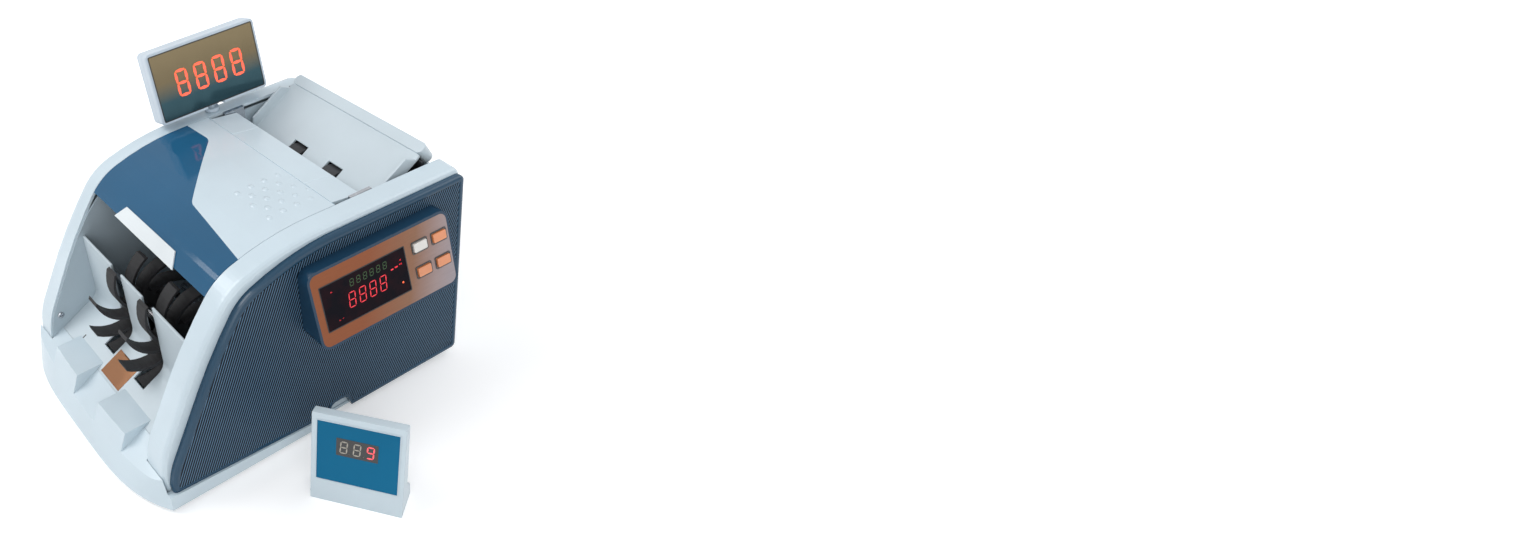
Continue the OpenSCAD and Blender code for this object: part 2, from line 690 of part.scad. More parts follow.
// ---- cover ----
deck_bar = deck_z(bar_y);
visor_h = deck_heading(visor_y);
module arch_band() difference() {
    polygon(side_outline(0));
    polygon(side_outline(wall));
}
function at_angle(p, h, d) = [p[0] + d * cos(h), p[1] - d * sin(h)];
module cover_profile() intersection() {
    arch_band();
    polygon([at_angle([visor_y, visor_z], visor_h, 30), [bar_y, deck_bar - 50], [bar_y, deck_bar + 30],
        [visor_y - 25, deck_bar + 30], at_angle([visor_y, visor_z], visor_h, -30)]);
}
cover_half = inner_half_w - cover_gap;
function round_corner(a, p, b, r) = let (u = (a - p) / norm(a - p), v = (b - p) / norm(b - p),
    half = acos(u * v) / 2, c = p + (u + v) / norm(u + v) * r / sin(half),
    s = p + u * r / tan(half) - c, e = p + v * r / tan(half) - c)
    [for (k = [0:6]) let (m = s * (6 - k) / 6 + e * k / 6) c + m / norm(m) * r];
visor_edge = let (a = [-cover_half - 1, visor_left_y], b = [visor_step_x, visor_step_y],
    c = [visor_low_x, visor_low_y], d = [cover_half + 1, visor_right_y])
    concat([a], round_corner(a, b, c, visor_round), round_corner(b, c, d, visor_round), [d]);
module over_visor() translate([0, 0, 100]) linear_extrude(100)
    polygon(concat(visor_edge, [[cover_half + 1, visor_y - 30], [-cover_half - 1, visor_y - 30]]));
bar_half = cover_half - bar_slot;
bar_rear_z = deck_bar - bar_fall;
module top_cover() color("lightsteelblue") at_desk() {
    difference() {
        side_x(-cover_half, 2 * cover_half) cover_profile();
        over_visor();
    }
    side_x(-bar_half, 2 * bar_half) polygon([[bar_y, deck_bar], [cover_rear_y, bar_rear_z],
        [cover_rear_y, bar_rear_z - bar_lip], [cover_rear_y - wall, bar_rear_z - bar_lip],
        [cover_rear_y - wall, bar_rear_z - wall], [bar_y, deck_bar - wall]]);
    both() difference() {
        union() {
            rod_x(bar_half - 3, hinge_y, hinge_z, hinge_pin_r + 1.2, 3);
            rod_x(bar_half, hinge_y, hinge_z, hinge_pin_r, chassis_in - bar_half - turn_gap);
        }
        side_x(bar_half - 4, 6) polygon([[bar_y, deck_bar], [cover_rear_y, bar_rear_z],
            [cover_rear_y, bar_rear_z - bar_lip], [cover_rear_y - wall, bar_rear_z - bar_lip],
            [cover_rear_y - wall, bar_rear_z - wall], [bar_y, deck_bar - wall]]);
    }
}
module front_visor() color("steelblue") at_desk() intersection() {
    side_x(-cover_half, 2 * cover_half) cover_profile();
    over_visor();
}
// the sign plate lies against the visor, tangent at the plate's middle
sign_y = visor_y + (sign_h / 2 - 1.5) * sin(visor_h + 3);
sign_head = deck_heading(sign_y);
module sign_plate() color("white") at_desk()
    translate([0, sign_y, deck_z(sign_y)]) rotate([90 - sign_head, 0, 0])
        translate([0, 0, 0.1]) linear_extrude(sign_t)
            polygon([[-sign_w / 2, -sign_h / 2], [sign_w / 2, -sign_h / 2],
                [sign_top_w / 2, sign_h / 2], [-sign_top_w / 2, sign_h / 2]]);

module cover_brackets() color("silver") at_desk() both() difference() {
    union() {
        side_x(bracket_in, bracket_t) polygon([[hinge_y - 8, deck_z(hinge_y) - 1.6],
            [hinge_y + 12, deck_z(hinge_y) - 1.6], [hinge_y + 12, hinge_z - 6],
            [bracket_screw[0] + 4, bracket_screw[1] - 5], [bracket_screw[0] - 2, bracket_screw[1] - 7],
            [hinge_y - 8, hinge_z - 6]]);
        box([bracket_in, hinge_y - 8, deck_z(hinge_y) - 1.6],
            [inner_half_w - fit_gap, hinge_y + 12, deck_z(hinge_y)]);
    }
    rod_x(bracket_in - 1, hinge_y, hinge_z, hinge_pin_r + shaft_gap, bracket_t + 2);
    rod_x(bracket_in - 1, bracket_screw[0], bracket_screw[1], screw_r, bracket_t + 2);
}

// ---- hopper ----
ledge_t = 2;
retard_z = feed_z + retard_top;
module hopper_front() color("gainsboro") at_desk() {
    box([-bracket_in, hopper_wall_y - ledge_t, mouth_top], [bracket_in, hopper_wall_y, hopper_wall_top]);
    both() {
        box([mouth_half_w, hopper_wall_y - ledge_t, tray_z - ledge_t], [bracket_in, hopper_wall_y, mouth_top]);
        box([mouth_half_w, hopper_wall_y, tray_z - ledge_t], [bracket_in, tray_y, tray_z]);
        box([retard_half_w + turn_gap, feed_y - retard_front, mouth_top],
            [retard_half_w + turn_gap + 4, hopper_wall_y - ledge_t, retard_z + 2]);
    }
}
pickup_slot = sqrt(pow(pickup_r, 2) - pow(pickup_r - pickup_lift - tray_t, 2)) + slot_gap;
module hopper_tray() color("gainsboro") at_desk() tray_in() {
    difference() {
        union() {
            translate([0, 0, -tray_t]) linear_extrude(tray_t) {
                translate([-tray_half_w, 0]) square([2 * tray_half_w, tray_l - tray_corner_r]);
                translate([tray_corner_r - tray_half_w, 0]) square([2 * (tray_half_w - tray_corner_r), tray_l]);
                for (x = [-1, 1]) translate([x * (tray_half_w - tray_corner_r), tray_l - tray_corner_r])
                    circle(tray_corner_r);
            }
            both() side_x(tray_half_w - tray_t, tray_t) polygon([[12, 0], [20, tray_side_h],
                [tray_l - tray_corner_r - 6, tray_side_h], [tray_l - tray_corner_r, 0]]);
        }
        for (x = [-pickup_x, pickup_x]) box([x - pickup_w / 2 - slot_gap, pickup_s - pickup_slot, -9],
            [x + pickup_w / 2 + slot_gap, pickup_s + pickup_slot, 9]);
        box([-tray_half_w - 1, tray_l - tray_bar_w, -9], [tray_half_w + 1, tray_l + 1, 9]);
    }
    translate([0, tray_l - tray_bar_w / 2, 1.5 - tray_bar_h]) linear_extrude(tray_bar_h)
        rrect(2 * tray_half_w, tray_bar_w, tray_bar_w / 2 - 0.5);
}
backing_y = tray_y + 56.5;
backing_t = 2.5;
backing_foot = rear_screw_z - 8;
module hopper_backing() color("dimgray") at_desk() difference() {
    box([-chassis_in, backing_y, backing_foot], [chassis_in, backing_y + backing_t,
        tray_z + (backing_y - tray_y) * tan(tray_rise) - tray_t / cos(tray_rise) - 0.3]);
    for (x = [-60, -20, 20, 60]) translate([x, backing_y - 1, backing_screw_z]) rotate([-90, 0, 0])
        cylinder(r = screw_r, h = backing_t + 2);
    rear_in(0, rear_screw_z) rear_plate(-adjuster_l - 12, adjuster_l + 8) circle(adjuster_r + seam);
}
backing_screw_z = rear_top_z + 4;
adjuster_l = 16;
function on_feed(a, r) = [feed_y - r * sin(a), feed_z + r * cos(a)];
function bez(a, c, b, t) = (1 - t) * (1 - t) * a + 2 * t * (1 - t) * c + t * t * b;
chute_a = on_feed(72, feed_r + 2.5);
chute_b = [impeller_y, impeller_z] + (impeller_r + 8) * [sin(62), cos(62)];
chute_c = [chute_a[0] - 15, chute_b[1] + 3];
module note_chute() color("darkgray") at_desk() side_x(-chassis_in, 2 * chassis_in) polygon(concat(
    [for (k = [0:8]) bez(chute_a, chute_c, chute_b, k / 8)],
    [for (k = [8:-1:0]) bez(chute_a, chute_c, chute_b, k / 8) + [0.9, -1.3]]));

// ---- shafts and rollers ----
module shaft(y, z, left) rod_x(-left, y, z, shaft_r, left + inner_half_w + 2);
module rollers(xs, w, y, z, r) for (x = xs) difference() {
    rod_x(x - w / 2, y, z, r, w);
    rod_x(x - w / 2 - 1, y, z, shaft_r, w + 2);
}
module pulley(y, z, r, bore, first, n) mirror_x() difference() {
    for (i = [first:first + n - 1]) {
        rod_x(pulley_in + i * plane_pitch, y, z, r + flange_h, flange_w);
        rod_x(pulley_in + i * plane_pitch + flange_w, y, z, r, groove_w);
        rod_x(pulley_in + (i + 1) * plane_pitch, y, z, r + flange_h, flange_w);
    }
    rod_x(pulley_in + first * plane_pitch - 1, y, z, bore, n * plane_pitch + 4);
}
pickup_end = pulley_in + plane_pitch + flange_w;
impeller_end = pulley_in + 2 * plane_pitch + flange_w;
feed_end = pulley_in + 3 * plane_pitch + flange_w;
module feed_shaft() color("silver") at_desk() shaft(feed_y, feed_z, feed_end);
module feed_rollers() color("dimgray") at_desk() rollers(feed_x, feed_w, feed_y, feed_z, feed_r);
module feed_pulley() color("gray") at_desk() pulley(feed_y, feed_z, feed_pulley_r, shaft_r, 0, 3);
module pickup_shaft() color("silver") at_desk() shaft(pickup_y, pickup_z, pickup_end);
module pickup_rollers() color("dimgray") at_desk()
    rollers([-pickup_x, pickup_x], pickup_w, pickup_y, pickup_z, pickup_r);
module pickup_pulley() color("gray") at_desk()
    pulley(pickup_y, pickup_z, pickup_pulley_r, shaft_r, 0, 1);
module pinch_shaft() color("silver") at_desk() shaft(pinch_y, pinch_z, inner_half_w + 1);
module pinch_rollers() color("dimgray") at_desk() rollers(feed_x, feed_w, pinch_y, pinch_z, pinch_r);
module impeller_shaft() color("silver") at_desk() shaft(impeller_y, impeller_z, impeller_end);
module impeller_pulley() color("gray") at_desk()
    pulley(impeller_y, impeller_z, impeller_pulley_r, shaft_r, 1, 1);
module finger() let (n = 8, curl = 42)
    polygon(concat(
        [for (k = [0:n]) let (r = impeller_hub_r - 1 + (impeller_r - impeller_hub_r + 1) * k / n,
            a = -curl * k / n + finger_t / 2 / r * 57.3) r * [cos(a), sin(a)]],
        [for (k = [n:-1:0]) let (r = impeller_hub_r - 1 + (impeller_r - impeller_hub_r + 1) * k / n,
            a = -curl * k / n - finger_t / 2 / r * 57.3) r * [cos(a), sin(a)]]));
module impeller_wheels() color("dimgray") at_desk() for (x = [-impeller_x, impeller_x])
    translate([0, impeller_y, impeller_z]) side_x(x - impeller_w / 2, impeller_w) difference() {
        union() {
            circle(impeller_hub_r);
            for (i = [0:finger_n - 1]) rotate(360 / finger_n * i + 12) finger();
        }
        circle(shaft_r);
    }
module retard_block() color("dimgray") at_desk() difference() {
    box([-retard_half_w, feed_y - retard_front, feed_z + feed_r / 2],
        [retard_half_w, feed_y + retard_rear, retard_z]);
    rod_x(-retard_half_w - 1, feed_y, feed_z, feed_r + nip, 2 * retard_half_w + 2);
}

// ---- drive ----
module drive_motor() color("darkgray") at_desk() difference() {
    rod_x(-chassis_in, motor_y, motor_z, motor_r, motor_l);
    rod_x(-chassis_in - 1, motor_y, motor_z, motor_shaft_r + shaft_gap, 16);
}
motor_end = pulley_in + 3 * plane_pitch + flange_w;
module motor_pulley() color("gray") at_desk() {
    pulley(motor_y, motor_z, motor_pulley_r, motor_shaft_r, 2, 1);
    rod_x(-motor_end, motor_y, motor_z, motor_shaft_r, motor_end - chassis_in + 14);
}
module belt(plane, a, ra, b, rb) mirror_x()
    side_x(pulley_in + plane * plane_pitch + flange_w + 0.15, belt_w) difference() {
        hull() { translate(a) circle(ra + turn_gap + belt_t); translate(b) circle(rb + turn_gap + belt_t); }
        hull() { translate(a) circle(ra + turn_gap); translate(b) circle(rb + turn_gap); }
    }
module drive_belts() color("dimgray") at_desk() {
    belt(0, [feed_y, feed_z], feed_pulley_r, [pickup_y, pickup_z], pickup_pulley_r);
    belt(1, [feed_y, feed_z], feed_pulley_r, [impeller_y, impeller_z], impeller_pulley_r);
    belt(2, [feed_y, feed_z], feed_pulley_r, [motor_y, motor_z], motor_pulley_r);
}
board_x = inner_half_w + board_off;
board_face = board_x + board_t;
module main_board() color("seagreen") at_desk() {
    box([board_x, board_y, board_z], [board_face, board_y + board_l, board_z + board_h]);
    for (y = [board_y + 6, board_y + board_l - 6], z = [board_z + 6, board_z + board_h - 6])
        rod_x(inner_half_w, y, z, 2.5, board_off);
    translate([board_face, board_y, board_z]) {
        cube([4.4, board_l / 4, board_h * 0.4]);
        translate([0, board_l * 0.54, board_h * 0.12]) cube([7.4, board_l / 3, 10]);
        translate([0, board_l * 0.54, board_h * 0.6]) cube([5.4, board_l / 5, 20]);
    }
}
module transformer() color("darkslategray") at_desk() translate([trafo_x, trafo_y, base_top]) {
    translate([-trafo_w / 2 - 7, -trafo_l / 2 - 4, 0]) cube([trafo_w + 14, trafo_l + 8, 2]);
    translate([-trafo_w / 2, -trafo_l / 2, 2]) cube([trafo_w, trafo_l, trafo_h]);
}

// ---- rear face ----
rear_half_w = inner_half_w - seam;
lean_up = 1 / cos(rear_lean);
port_up = port_d - port_step;
inlet_t = 3;
inlet_body_w = 29;
inlet_body_h = 31;
inlet_body_d = 24;
rocker_open_w = rocker_w - 2.6;
rocker_open_h = rocker_h - 3.4;
rocker_body_d = 16;
data_h = data_w / 2;
module vent_slits() for (x = vent_x, k = [0:vent_n - 1])
    translate([x - vent_w / 2, vent_z + k * vent_pitch]) square([vent_w, vent_h]);
module rear_panel() color("lightsteelblue") at_desk() rear_in() difference() {
    union() {
        rear_plate(-wall, wall) translate([-rear_half_w, base_top * lean_up])
            square([2 * rear_half_w, (seam_z - seam / 2) * lean_up - base_top * lean_up]);
        rear_plate(-port_d - wall, wall + port_d) translate([port_x, port_z + port_h / 2])
            rrect(port_w + 2 * wall, port_h + 2 * wall, 4 + wall);
    }
    rear_plate(-port_d, port_d + 1) intersection() {
        translate([port_x, port_z + port_h / 2]) rrect(port_w, port_h, 4);
        translate([port_x - port_w, 0]) square([2 * port_w, port_step_z]);
    }
    rear_plate(-port_up, port_up + 1) intersection() {
        translate([port_x, port_z + port_h / 2]) rrect(port_w, port_h, 4);
        translate([port_x - port_w, port_step_z]) square([2 * port_w, port_h]);
    }
    rear_plate(-wall - 1, wall + 2) vent_slits();
    rear_plate(-wall - port_d - 1, wall + port_d + 2) {
        translate([inlet_x, inlet_z]) square([inlet_body_w, inlet_body_h], center = true);
        translate([rocker_x, rocker_z]) square([rocker_w - 2, rocker_h - 2], center = true);
        translate([data_x, data_z]) square([data_w, data_h], center = true);
        for (x = [-1, 1]) translate([inlet_x + x * inlet_screw_pitch / 2, inlet_z]) circle(screw_r);
        for (x = [-1, 1]) translate([x * rear_screw_pitch / 2, rear_screw_z]) circle(screw_r);
        translate([0, rear_screw_z]) circle(ring_r - 1);
    }
}
module rear_upper_cover() color("lightsteelblue") at_desk() rear_in()
    rear_plate(-wall, wall) translate([-rear_half_w, (seam_z + seam / 2) * lean_up])
        square([2 * rear_half_w, (rear_top_z - seam_z - seam / 2) * lean_up]);

module inlet_shape() {
    polygon([[-inlet_w / 2, 3], [-inlet_w / 2, -3], [-inlet_body_w / 2, -inlet_h / 2],
        [inlet_body_w / 2, -inlet_h / 2], [inlet_w / 2, -3], [inlet_w / 2, 3],
        [inlet_body_w / 2, inlet_h / 2], [-inlet_body_w / 2, inlet_h / 2]]);
}
socket_w = 25;
socket_h = 17;
socket_z = 4;
fuse_w = 20;
fuse_h = 6.4;
fuse_z = -12.2;
fuse_d = 15;
module power_inlet() color("black") at_desk() rear_in(inlet_x, inlet_z) {
    difference() {
        union() {
            rear_plate(-port_d, inlet_t) inlet_shape();
            rear_plate(-port_d - inlet_body_d, inlet_body_d) square([inlet_body_w, inlet_body_h], center = true);
        }
        rear_plate(-port_d - 15, 30) translate([0, socket_z]) polygon([[-socket_w / 2, -socket_h / 2],
            [socket_w / 2, -socket_h / 2], [socket_w / 2, socket_h / 2 - 4], [socket_w / 2 - 4, socket_h / 2],
            [4 - socket_w / 2, socket_h / 2], [-socket_w / 2, socket_h / 2 - 4]]);
        rear_plate(-port_d - fuse_d - turn_gap, 30) translate([0, fuse_z])
            square([fuse_w + 2 * turn_gap, fuse_h + 2 * turn_gap], center = true);
        for (x = [-1, 1]) rear_plate(-port_d - 1, inlet_t + 2)
            translate([x * inlet_screw_pitch / 2, 0]) circle(screw_r);
    }
    for (p = [[-7, -1.5], [0, 3], [7, -1.5]]) rear_plate(-port_d - 15, 13)
        translate([p[0], socket_z + p[1]]) square([2, 4], center = true);
}
module fuse_drawer() color("black") at_desk() rear_in(inlet_x, inlet_z) {
    rear_plate(-port_d - fuse_d, fuse_d + inlet_t) translate([0, fuse_z]) square([fuse_w, fuse_h], center = true);
    rear_plate(inlet_t - port_d, 1) translate([0, fuse_z]) square([fuse_w, 1.6], center = true);
}
module rocker_frame() color("red") at_desk() rear_in(rocker_x, rocker_z) difference() {
    union() {
        rear_plate(-port_up, 1.5) rrect(rocker_w, rocker_h, 1);
        rear_plate(-port_up - rocker_body_d, rocker_body_d) square([rocker_w - 2, rocker_h - 2], center = true);
    }
    rear_plate(-port_up - rocker_body_d + 2, rocker_body_d + 5) square([rocker_open_w, rocker_open_h], center = true);
    translate([0, rocker_axis, -rocker_h]) cylinder(r = 1 + shaft_gap, h = 2 * rocker_h);
}
rocker_axis = -port_up - 3;
module power_rocker() color("firebrick") at_desk() rear_in(rocker_x, rocker_z)
    translate([0, rocker_axis, 0]) rotate([0, 0, rocker_tilt]) {
        translate([0, 0, -rocker_open_h / 2 + turn_gap]) linear_extrude(rocker_open_h - 2 * turn_gap)
            polygon([[1 - rocker_open_w / 2, 5.6], [0, 4.2], [rocker_open_w / 2 - 1, 5.6],
                [rocker_open_w / 2 - 1.4, -2.5], [0, -6], [1.4 - rocker_open_w / 2, -2.5]]);
        translate([0, 0, -rocker_h / 2 + 1.2]) cylinder(r = 1, h = rocker_h - 2.4);
    }
module d_shape(w, h) polygon([[-w / 2, h / 2 - 1], [1 - w / 2, h / 2], [w / 2 - 1, h / 2],
    [w / 2, h / 2 - 1], [w / 2 - 1.5, 1 - h / 2], [w / 2 - 2.5, -h / 2], [2.5 - w / 2, -h / 2],
    [1.5 - w / 2, 1 - h / 2]]);
module data_port() color("royalblue") at_desk() rear_in(data_x, data_z) {
    rear_plate(-port_up - 9, 9) square([data_w, data_h], center = true);
    difference() {
        rear_plate(-port_up, 6) d_shape(data_w, data_h);
        rear_plate(1 - port_up, 6) d_shape(data_w - 1.6, data_h - 1.6);
    }
}
module gap_ring() color("silver") at_desk() rear_in(0, rear_screw_z) difference() {
    union() {
        rear_plate(0, 1.8) circle(ring_r);
        rear_plate(-9, 9) circle(ring_r - 1);
    }
    rear_plate(-10, 20) circle(adjuster_r + shaft_gap);
}
module gap_screw() color("goldenrod") at_desk() rear_in(0, rear_screw_z) difference() {
    rear_plate(-adjuster_l, adjuster_l + 1.2) circle(adjuster_r);
    rear_plate(0.2, 2) square([1, 2 * adjuster_r + 1], center = true);
}

module screw_head(l) {
    cylinder(r = 3, h = 1.6);
    translate([0, 0, -l]) cylinder(r = screw_r, h = l);
}
module cover_screws() color("silver") at_desk() {
    rear_in() {
        for (x = [-1, 1]) translate([x * rear_screw_pitch / 2, 0, rear_screw_z]) rotate([-90, 0, 0]) screw_head(8);
        for (x = [-1, 1]) translate([inlet_x + x * inlet_screw_pitch / 2, inlet_t - port_d, inlet_z])
            rotate([-90, 0, 0]) screw_head(inlet_t + wall);
    }
    for (x = [-60, -20, 20, 60]) translate([x, backing_y + backing_t, backing_screw_z]) rotate([-90, 0, 0])
        screw_head(backing_t);
    both() {
        translate([chassis_in, wall_screw[0], wall_screw[1]]) rotate([0, -90, 0]) screw_head(chassis_t);
        translate([bracket_in, bracket_screw[0], bracket_screw[1]]) rotate([0, -90, 0])
            screw_head(bracket_t + chassis_t);
    }
}

// ---- control pod: x out of the face, y along it, z up its slope ----
module face_plate(x, h, g) side_x(x, h) translate([face_l / 2, face_h / 2]) rrect(face_l + 2 * g, face_h + 2 * g, face_r + g);
module pod_block(g, x) hull() {
    pod_in() face_plate(x - eps, eps, g);
    translate([-40, 0, 0]) pod_in() face_plate(x - eps, eps, g);
}
module control_pod() color("slategray") at_desk() difference() {
    pod_block(pod_rim, 0);
    pod_block(-1.5, face_t / 2 - face_t);
    pod_in() face_plate(-face_t, face_t + 1, 0);
    lean_in() box([-70, -50, -60], [0, 400, 260]);
}
function key_at(i, j) = [face_l - key_in + i * key_pitch_y, key_low + j * key_pitch_z];
module control_faceplate() color("peru") at_desk() pod_in() difference() {
    face_plate(-face_t, face_t, 0);
    side_x(-face_t - 1, face_t + 2) {
        translate([window_in, window_z]) square([window_l, window_h]);
        for (i = [0, 1], j = [0, 1]) translate(key_at(i, j))
            rrect(key_l + 2 * key_gap, key_h + 2 * key_gap, 1 + key_gap);
    }
}
module control_window() color("black") at_desk() pod_in()
    side_x(-face_t, face_t) translate([window_in, window_z]) square([window_l, window_h]);
key_flange = 1;
board_depth = face_t + turn_gap + key_flange + key_travel + turn_gap + 1.7;
module control_board() color("seagreen") at_desk() pod_in() {
    box([-board_depth - 1.6, 4, 4], [-board_depth, face_l - 4, face_h - 4]);
    for (y = [7.5, face_l - 7.5], z = [7.5, face_h - 7.5]) rod_x(-board_depth, y, z, 2, board_depth - face_t);
    for (i = [0, 1], j = [0, 1]) side_x(-board_depth, 1.7) translate(key_at(i, j)) square(4, center = true);
}
module key(i, j) pod_in() {
    side_x(-face_t - turn_gap, face_t + turn_gap + key_out) translate(key_at(i, j)) rrect(key_l, key_h, 1);
    side_x(-face_t - turn_gap - key_flange, key_flange) translate(key_at(i, j)) rrect(key_l + 2.4, key_h + 2.4, 1);
}
module key_upper_front() color("whitesmoke") at_desk() key(0, 1);
module key_upper_rear() color("orange") at_desk() key(1, 1);
module key_lower_front() color("orange") at_desk() key(0, 0);
module key_lower_rear() color("orange") at_desk() key(1, 0);

// ---- pop-up display ----
pad_z = deck_z(display_y - pad_r);
module display_mount() color("lightsteelblue") at_desk() translate([-post_x, display_y, pad_z]) difference() {
    cylinder(r = pad_r, h = pad_h);
    translate([0, 0, 0.8]) cylinder(r = pad_r / 2 + shaft_gap, h = pad_h);
}
module display_post() color("lightsteelblue") at_desk() {
    translate([-post_x, display_y, pad_z + 0.8 + turn_gap]) cylinder(r = pad_r / 2, h = pad_h - 0.8);
    difference() {
        union() {
            translate([-post_x, display_y, pad_z + pad_h + turn_gap])
                cylinder(r = pad_r / 2, h = display_axis_z - pad_z - pad_h - turn_gap);
            translate([-post_x, display_y + display_gap_w / 2 - 2, display_axis_z]) rotate([90, 0, 0])
                cylinder(r = knuckle_r, h = display_gap_w - 4);
        }
        translate([-post_x, display_y + 20, display_axis_z]) rotate([90, 0, 0])
            cylinder(r = tilt_pin_r + shaft_gap, h = 40);
    }
}
window_d = 1.5;
module display_face_x(x, h, l, w, r) side_x(x, h)
    translate([0, display_h / 2 - display_drop]) rrect(l, w, r);
module display_case() color("gainsboro") at_desk() display_in() {
    difference() {
        hull() {
            display_face_x(display_face - 1 - eps, eps, display_l, display_h, display_r);
            display_face_x(display_face - eps, eps, display_l - 1.2, display_h - 1.2, display_r - 0.6);
            display_face_x(-display_back + display_r, eps, display_l, display_h, display_r);
            display_face_x(-display_back, eps, display_l - 2 * display_r, display_h - 2 * display_r, 1);
        }
        display_face_x(display_face - window_d, 9, display_l - 2 * display_frame, display_h - 2 * display_frame, 1);
        box([-display_back + wall, -display_l / 2 + display_frame + 1.5, display_gap_top + wall],
            [display_face, display_l / 2 - display_frame - 1.5, display_top - display_frame - 1.5]);
        box([-display_back - 1, -display_gap_w / 2, -display_drop - 1],
            [display_face - window_d - 1, display_gap_w / 2, display_gap_top]);
        translate([0, 0, 0]) box([-display_back - 1, -display_gap_w / 2, -display_drop - 1],
            [display_face + 1, display_gap_w / 2, 0]);
    }
    translate([0, display_gap_w / 2, 0]) rotate([90, 0, 0]) cylinder(r = tilt_pin_r, h = display_gap_w);
}
display_gap_top = knuckle_r + 0.8;
module display_window() color("saddlebrown") at_desk() display_in()
    display_face_x(display_face - window_d, window_d, display_l - 2 * display_frame, display_h - 2 * display_frame, 1);

// ---- desk display ----
face_dir = [sin(remote_lean), cos(remote_lean)];
face_in = [cos(remote_lean), -sin(remote_lean)];
remote_panel_t = 1.2;
module remote_case() color("gainsboro") at_desk() remote_in() difference() {
    side_x(0, remote_w) polygon([[0, 0], face_dir * remote_h, face_dir * remote_h + face_in * remote_t,
        face_dir * (remote_h * 0.3) + face_in * (remote_t + 3), [remote_foot_l, remote_foot_l * 0.45],
        [remote_foot_l, 0]]);
    side_x(remote_frame, remote_w - 2 * remote_frame) polygon([
        face_dir * remote_sill - face_in, face_dir * (remote_sill + remote_window_h) - face_in,
        face_dir * (remote_sill + remote_window_h) + face_in * remote_panel_t,
        face_dir * remote_sill + face_in * remote_panel_t]);
    side_x(remote_frame + 2, remote_w - 2 * remote_frame - 4) polygon([
        face_dir * (remote_sill + 2), face_dir * (remote_sill + remote_window_h - 2),
        face_dir * (remote_sill + remote_window_h - 2) + face_in * (remote_t - 2),
        face_dir * (remote_sill + 2) + face_in * (remote_t - 2)]);
}
module remote_window() color("teal") at_desk() remote_in()
    side_x(remote_frame, remote_w - 2 * remote_frame) polygon([
        face_dir * remote_sill, face_dir * (remote_sill + remote_window_h),
        face_dir * (remote_sill + remote_window_h) + face_in * remote_panel_t,
        face_dir * remote_sill + face_in * remote_panel_t]);

base_tray();
feet();
side_frame_left();
side_frame_right();
side_panel_left();
side_panel_right();
chassis_left();
chassis_right();
tie_rods();
stacker_tray();
stacker_window();
top_cover();
front_visor();
sign_plate();
cover_brackets();
hopper_front();
hopper_tray();
hopper_backing();
note_chute();
pickup_shaft();
pickup_rollers();
pickup_pulley();
feed_shaft();
feed_rollers();
feed_pulley();
pinch_shaft();
pinch_rollers();
retard_block();
gap_screw();
gap_ring();
impeller_shaft();
impeller_wheels();
impeller_pulley();
drive_motor();
motor_pulley();
drive_belts();
main_board();
transformer();
rear_panel();
rear_upper_cover();
power_inlet();
fuse_drawer();
rocker_frame();
power_rocker();
data_port();
cover_screws();
control_pod();
control_faceplate();
control_window();
control_board();
key_upper_front();
key_upper_rear();
key_lower_front();
key_lower_rear();
display_mount();
display_post();
display_case();
display_window();
remote_case();
remote_window();
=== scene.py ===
import json
from math import cos, pi, radians, sin

import bmesh
import bpy
from mathutils import Matrix, Vector
from mathutils.bvhtree import BVHTree


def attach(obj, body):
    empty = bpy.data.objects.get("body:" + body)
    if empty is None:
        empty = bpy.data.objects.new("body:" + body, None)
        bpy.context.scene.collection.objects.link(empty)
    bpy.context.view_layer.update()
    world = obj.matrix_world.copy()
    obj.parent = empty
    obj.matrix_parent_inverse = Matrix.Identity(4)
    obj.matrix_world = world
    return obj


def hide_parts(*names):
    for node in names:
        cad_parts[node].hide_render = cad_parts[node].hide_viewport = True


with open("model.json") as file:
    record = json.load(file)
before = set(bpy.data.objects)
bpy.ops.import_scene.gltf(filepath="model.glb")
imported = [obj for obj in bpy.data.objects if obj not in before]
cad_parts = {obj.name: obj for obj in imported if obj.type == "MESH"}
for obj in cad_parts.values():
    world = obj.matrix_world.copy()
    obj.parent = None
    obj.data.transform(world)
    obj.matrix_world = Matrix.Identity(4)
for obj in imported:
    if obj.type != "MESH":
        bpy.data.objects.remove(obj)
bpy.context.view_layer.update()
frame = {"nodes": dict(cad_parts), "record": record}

MM = 0.001

# ---------------------------------------------------------------- places
# Sizes below are in millimetres from the machine's middle plane, the front corner of
# a side panel's foot and the desk. The row's origin is the middle of the whole set.
SET_MIDDLE = Vector((53.4848, 131.314, 0))


def place(origin, right, up, out):
    """A matrix from a piece's own millimetres to the row frame: x right, y up, z out."""
    turn = Matrix((right, up, out)).transposed().to_4x4()
    return Matrix.Scale(MM, 4) @ Matrix.Translation(Vector(origin) - SET_MIDDLE) @ turn


def turned(angle, about, v):
    return Matrix.Rotation(radians(angle), 3, about) @ Vector(v)


POD_LEAN, DISPLAY_LEAN, REAR_LEAN, FLOOR_SLOPE = -15.4, -13, -3.4, 27.5
MACHINE = place((0, 0, 0), (1, 0, 0), (0, 1, 0), (0, 0, 1))
POD = place((144.2, 130, 102.2), (0, 1, 0),
            turned(POD_LEAN, "Y", (0, 0, 1)), turned(POD_LEAN, "Y", (1, 0, 0)))
DISPLAY = place((-102.5, 193.2, 186.5), (0, 1, 0),
                turned(DISPLAY_LEAN, "Y", (0, 0, 1)), turned(DISPLAY_LEAN, "Y", (1, 0, 0)))
REAR = place((0, 278.6, 0), (-1, 0, 0),
             turned(REAR_LEAN, "X", (0, 0, 1)), turned(REAR_LEAN, "X", (0, 1, 0)))
BACKING = place((0, 270, 0), (-1, 0, 0), (0, 0, 1), (0, 1, 0))
FLOOR = place((0, 8, 36), (1, 0, 0),
              turned(FLOOR_SLOPE, "X", (0, 1, 0)), turned(FLOOR_SLOPE, "X", (0, 0, 1)))
REMOTE_TURN, REMOTE_LEAN = Matrix.Rotation(radians(35.4), 3, "Z"), radians(14.5)
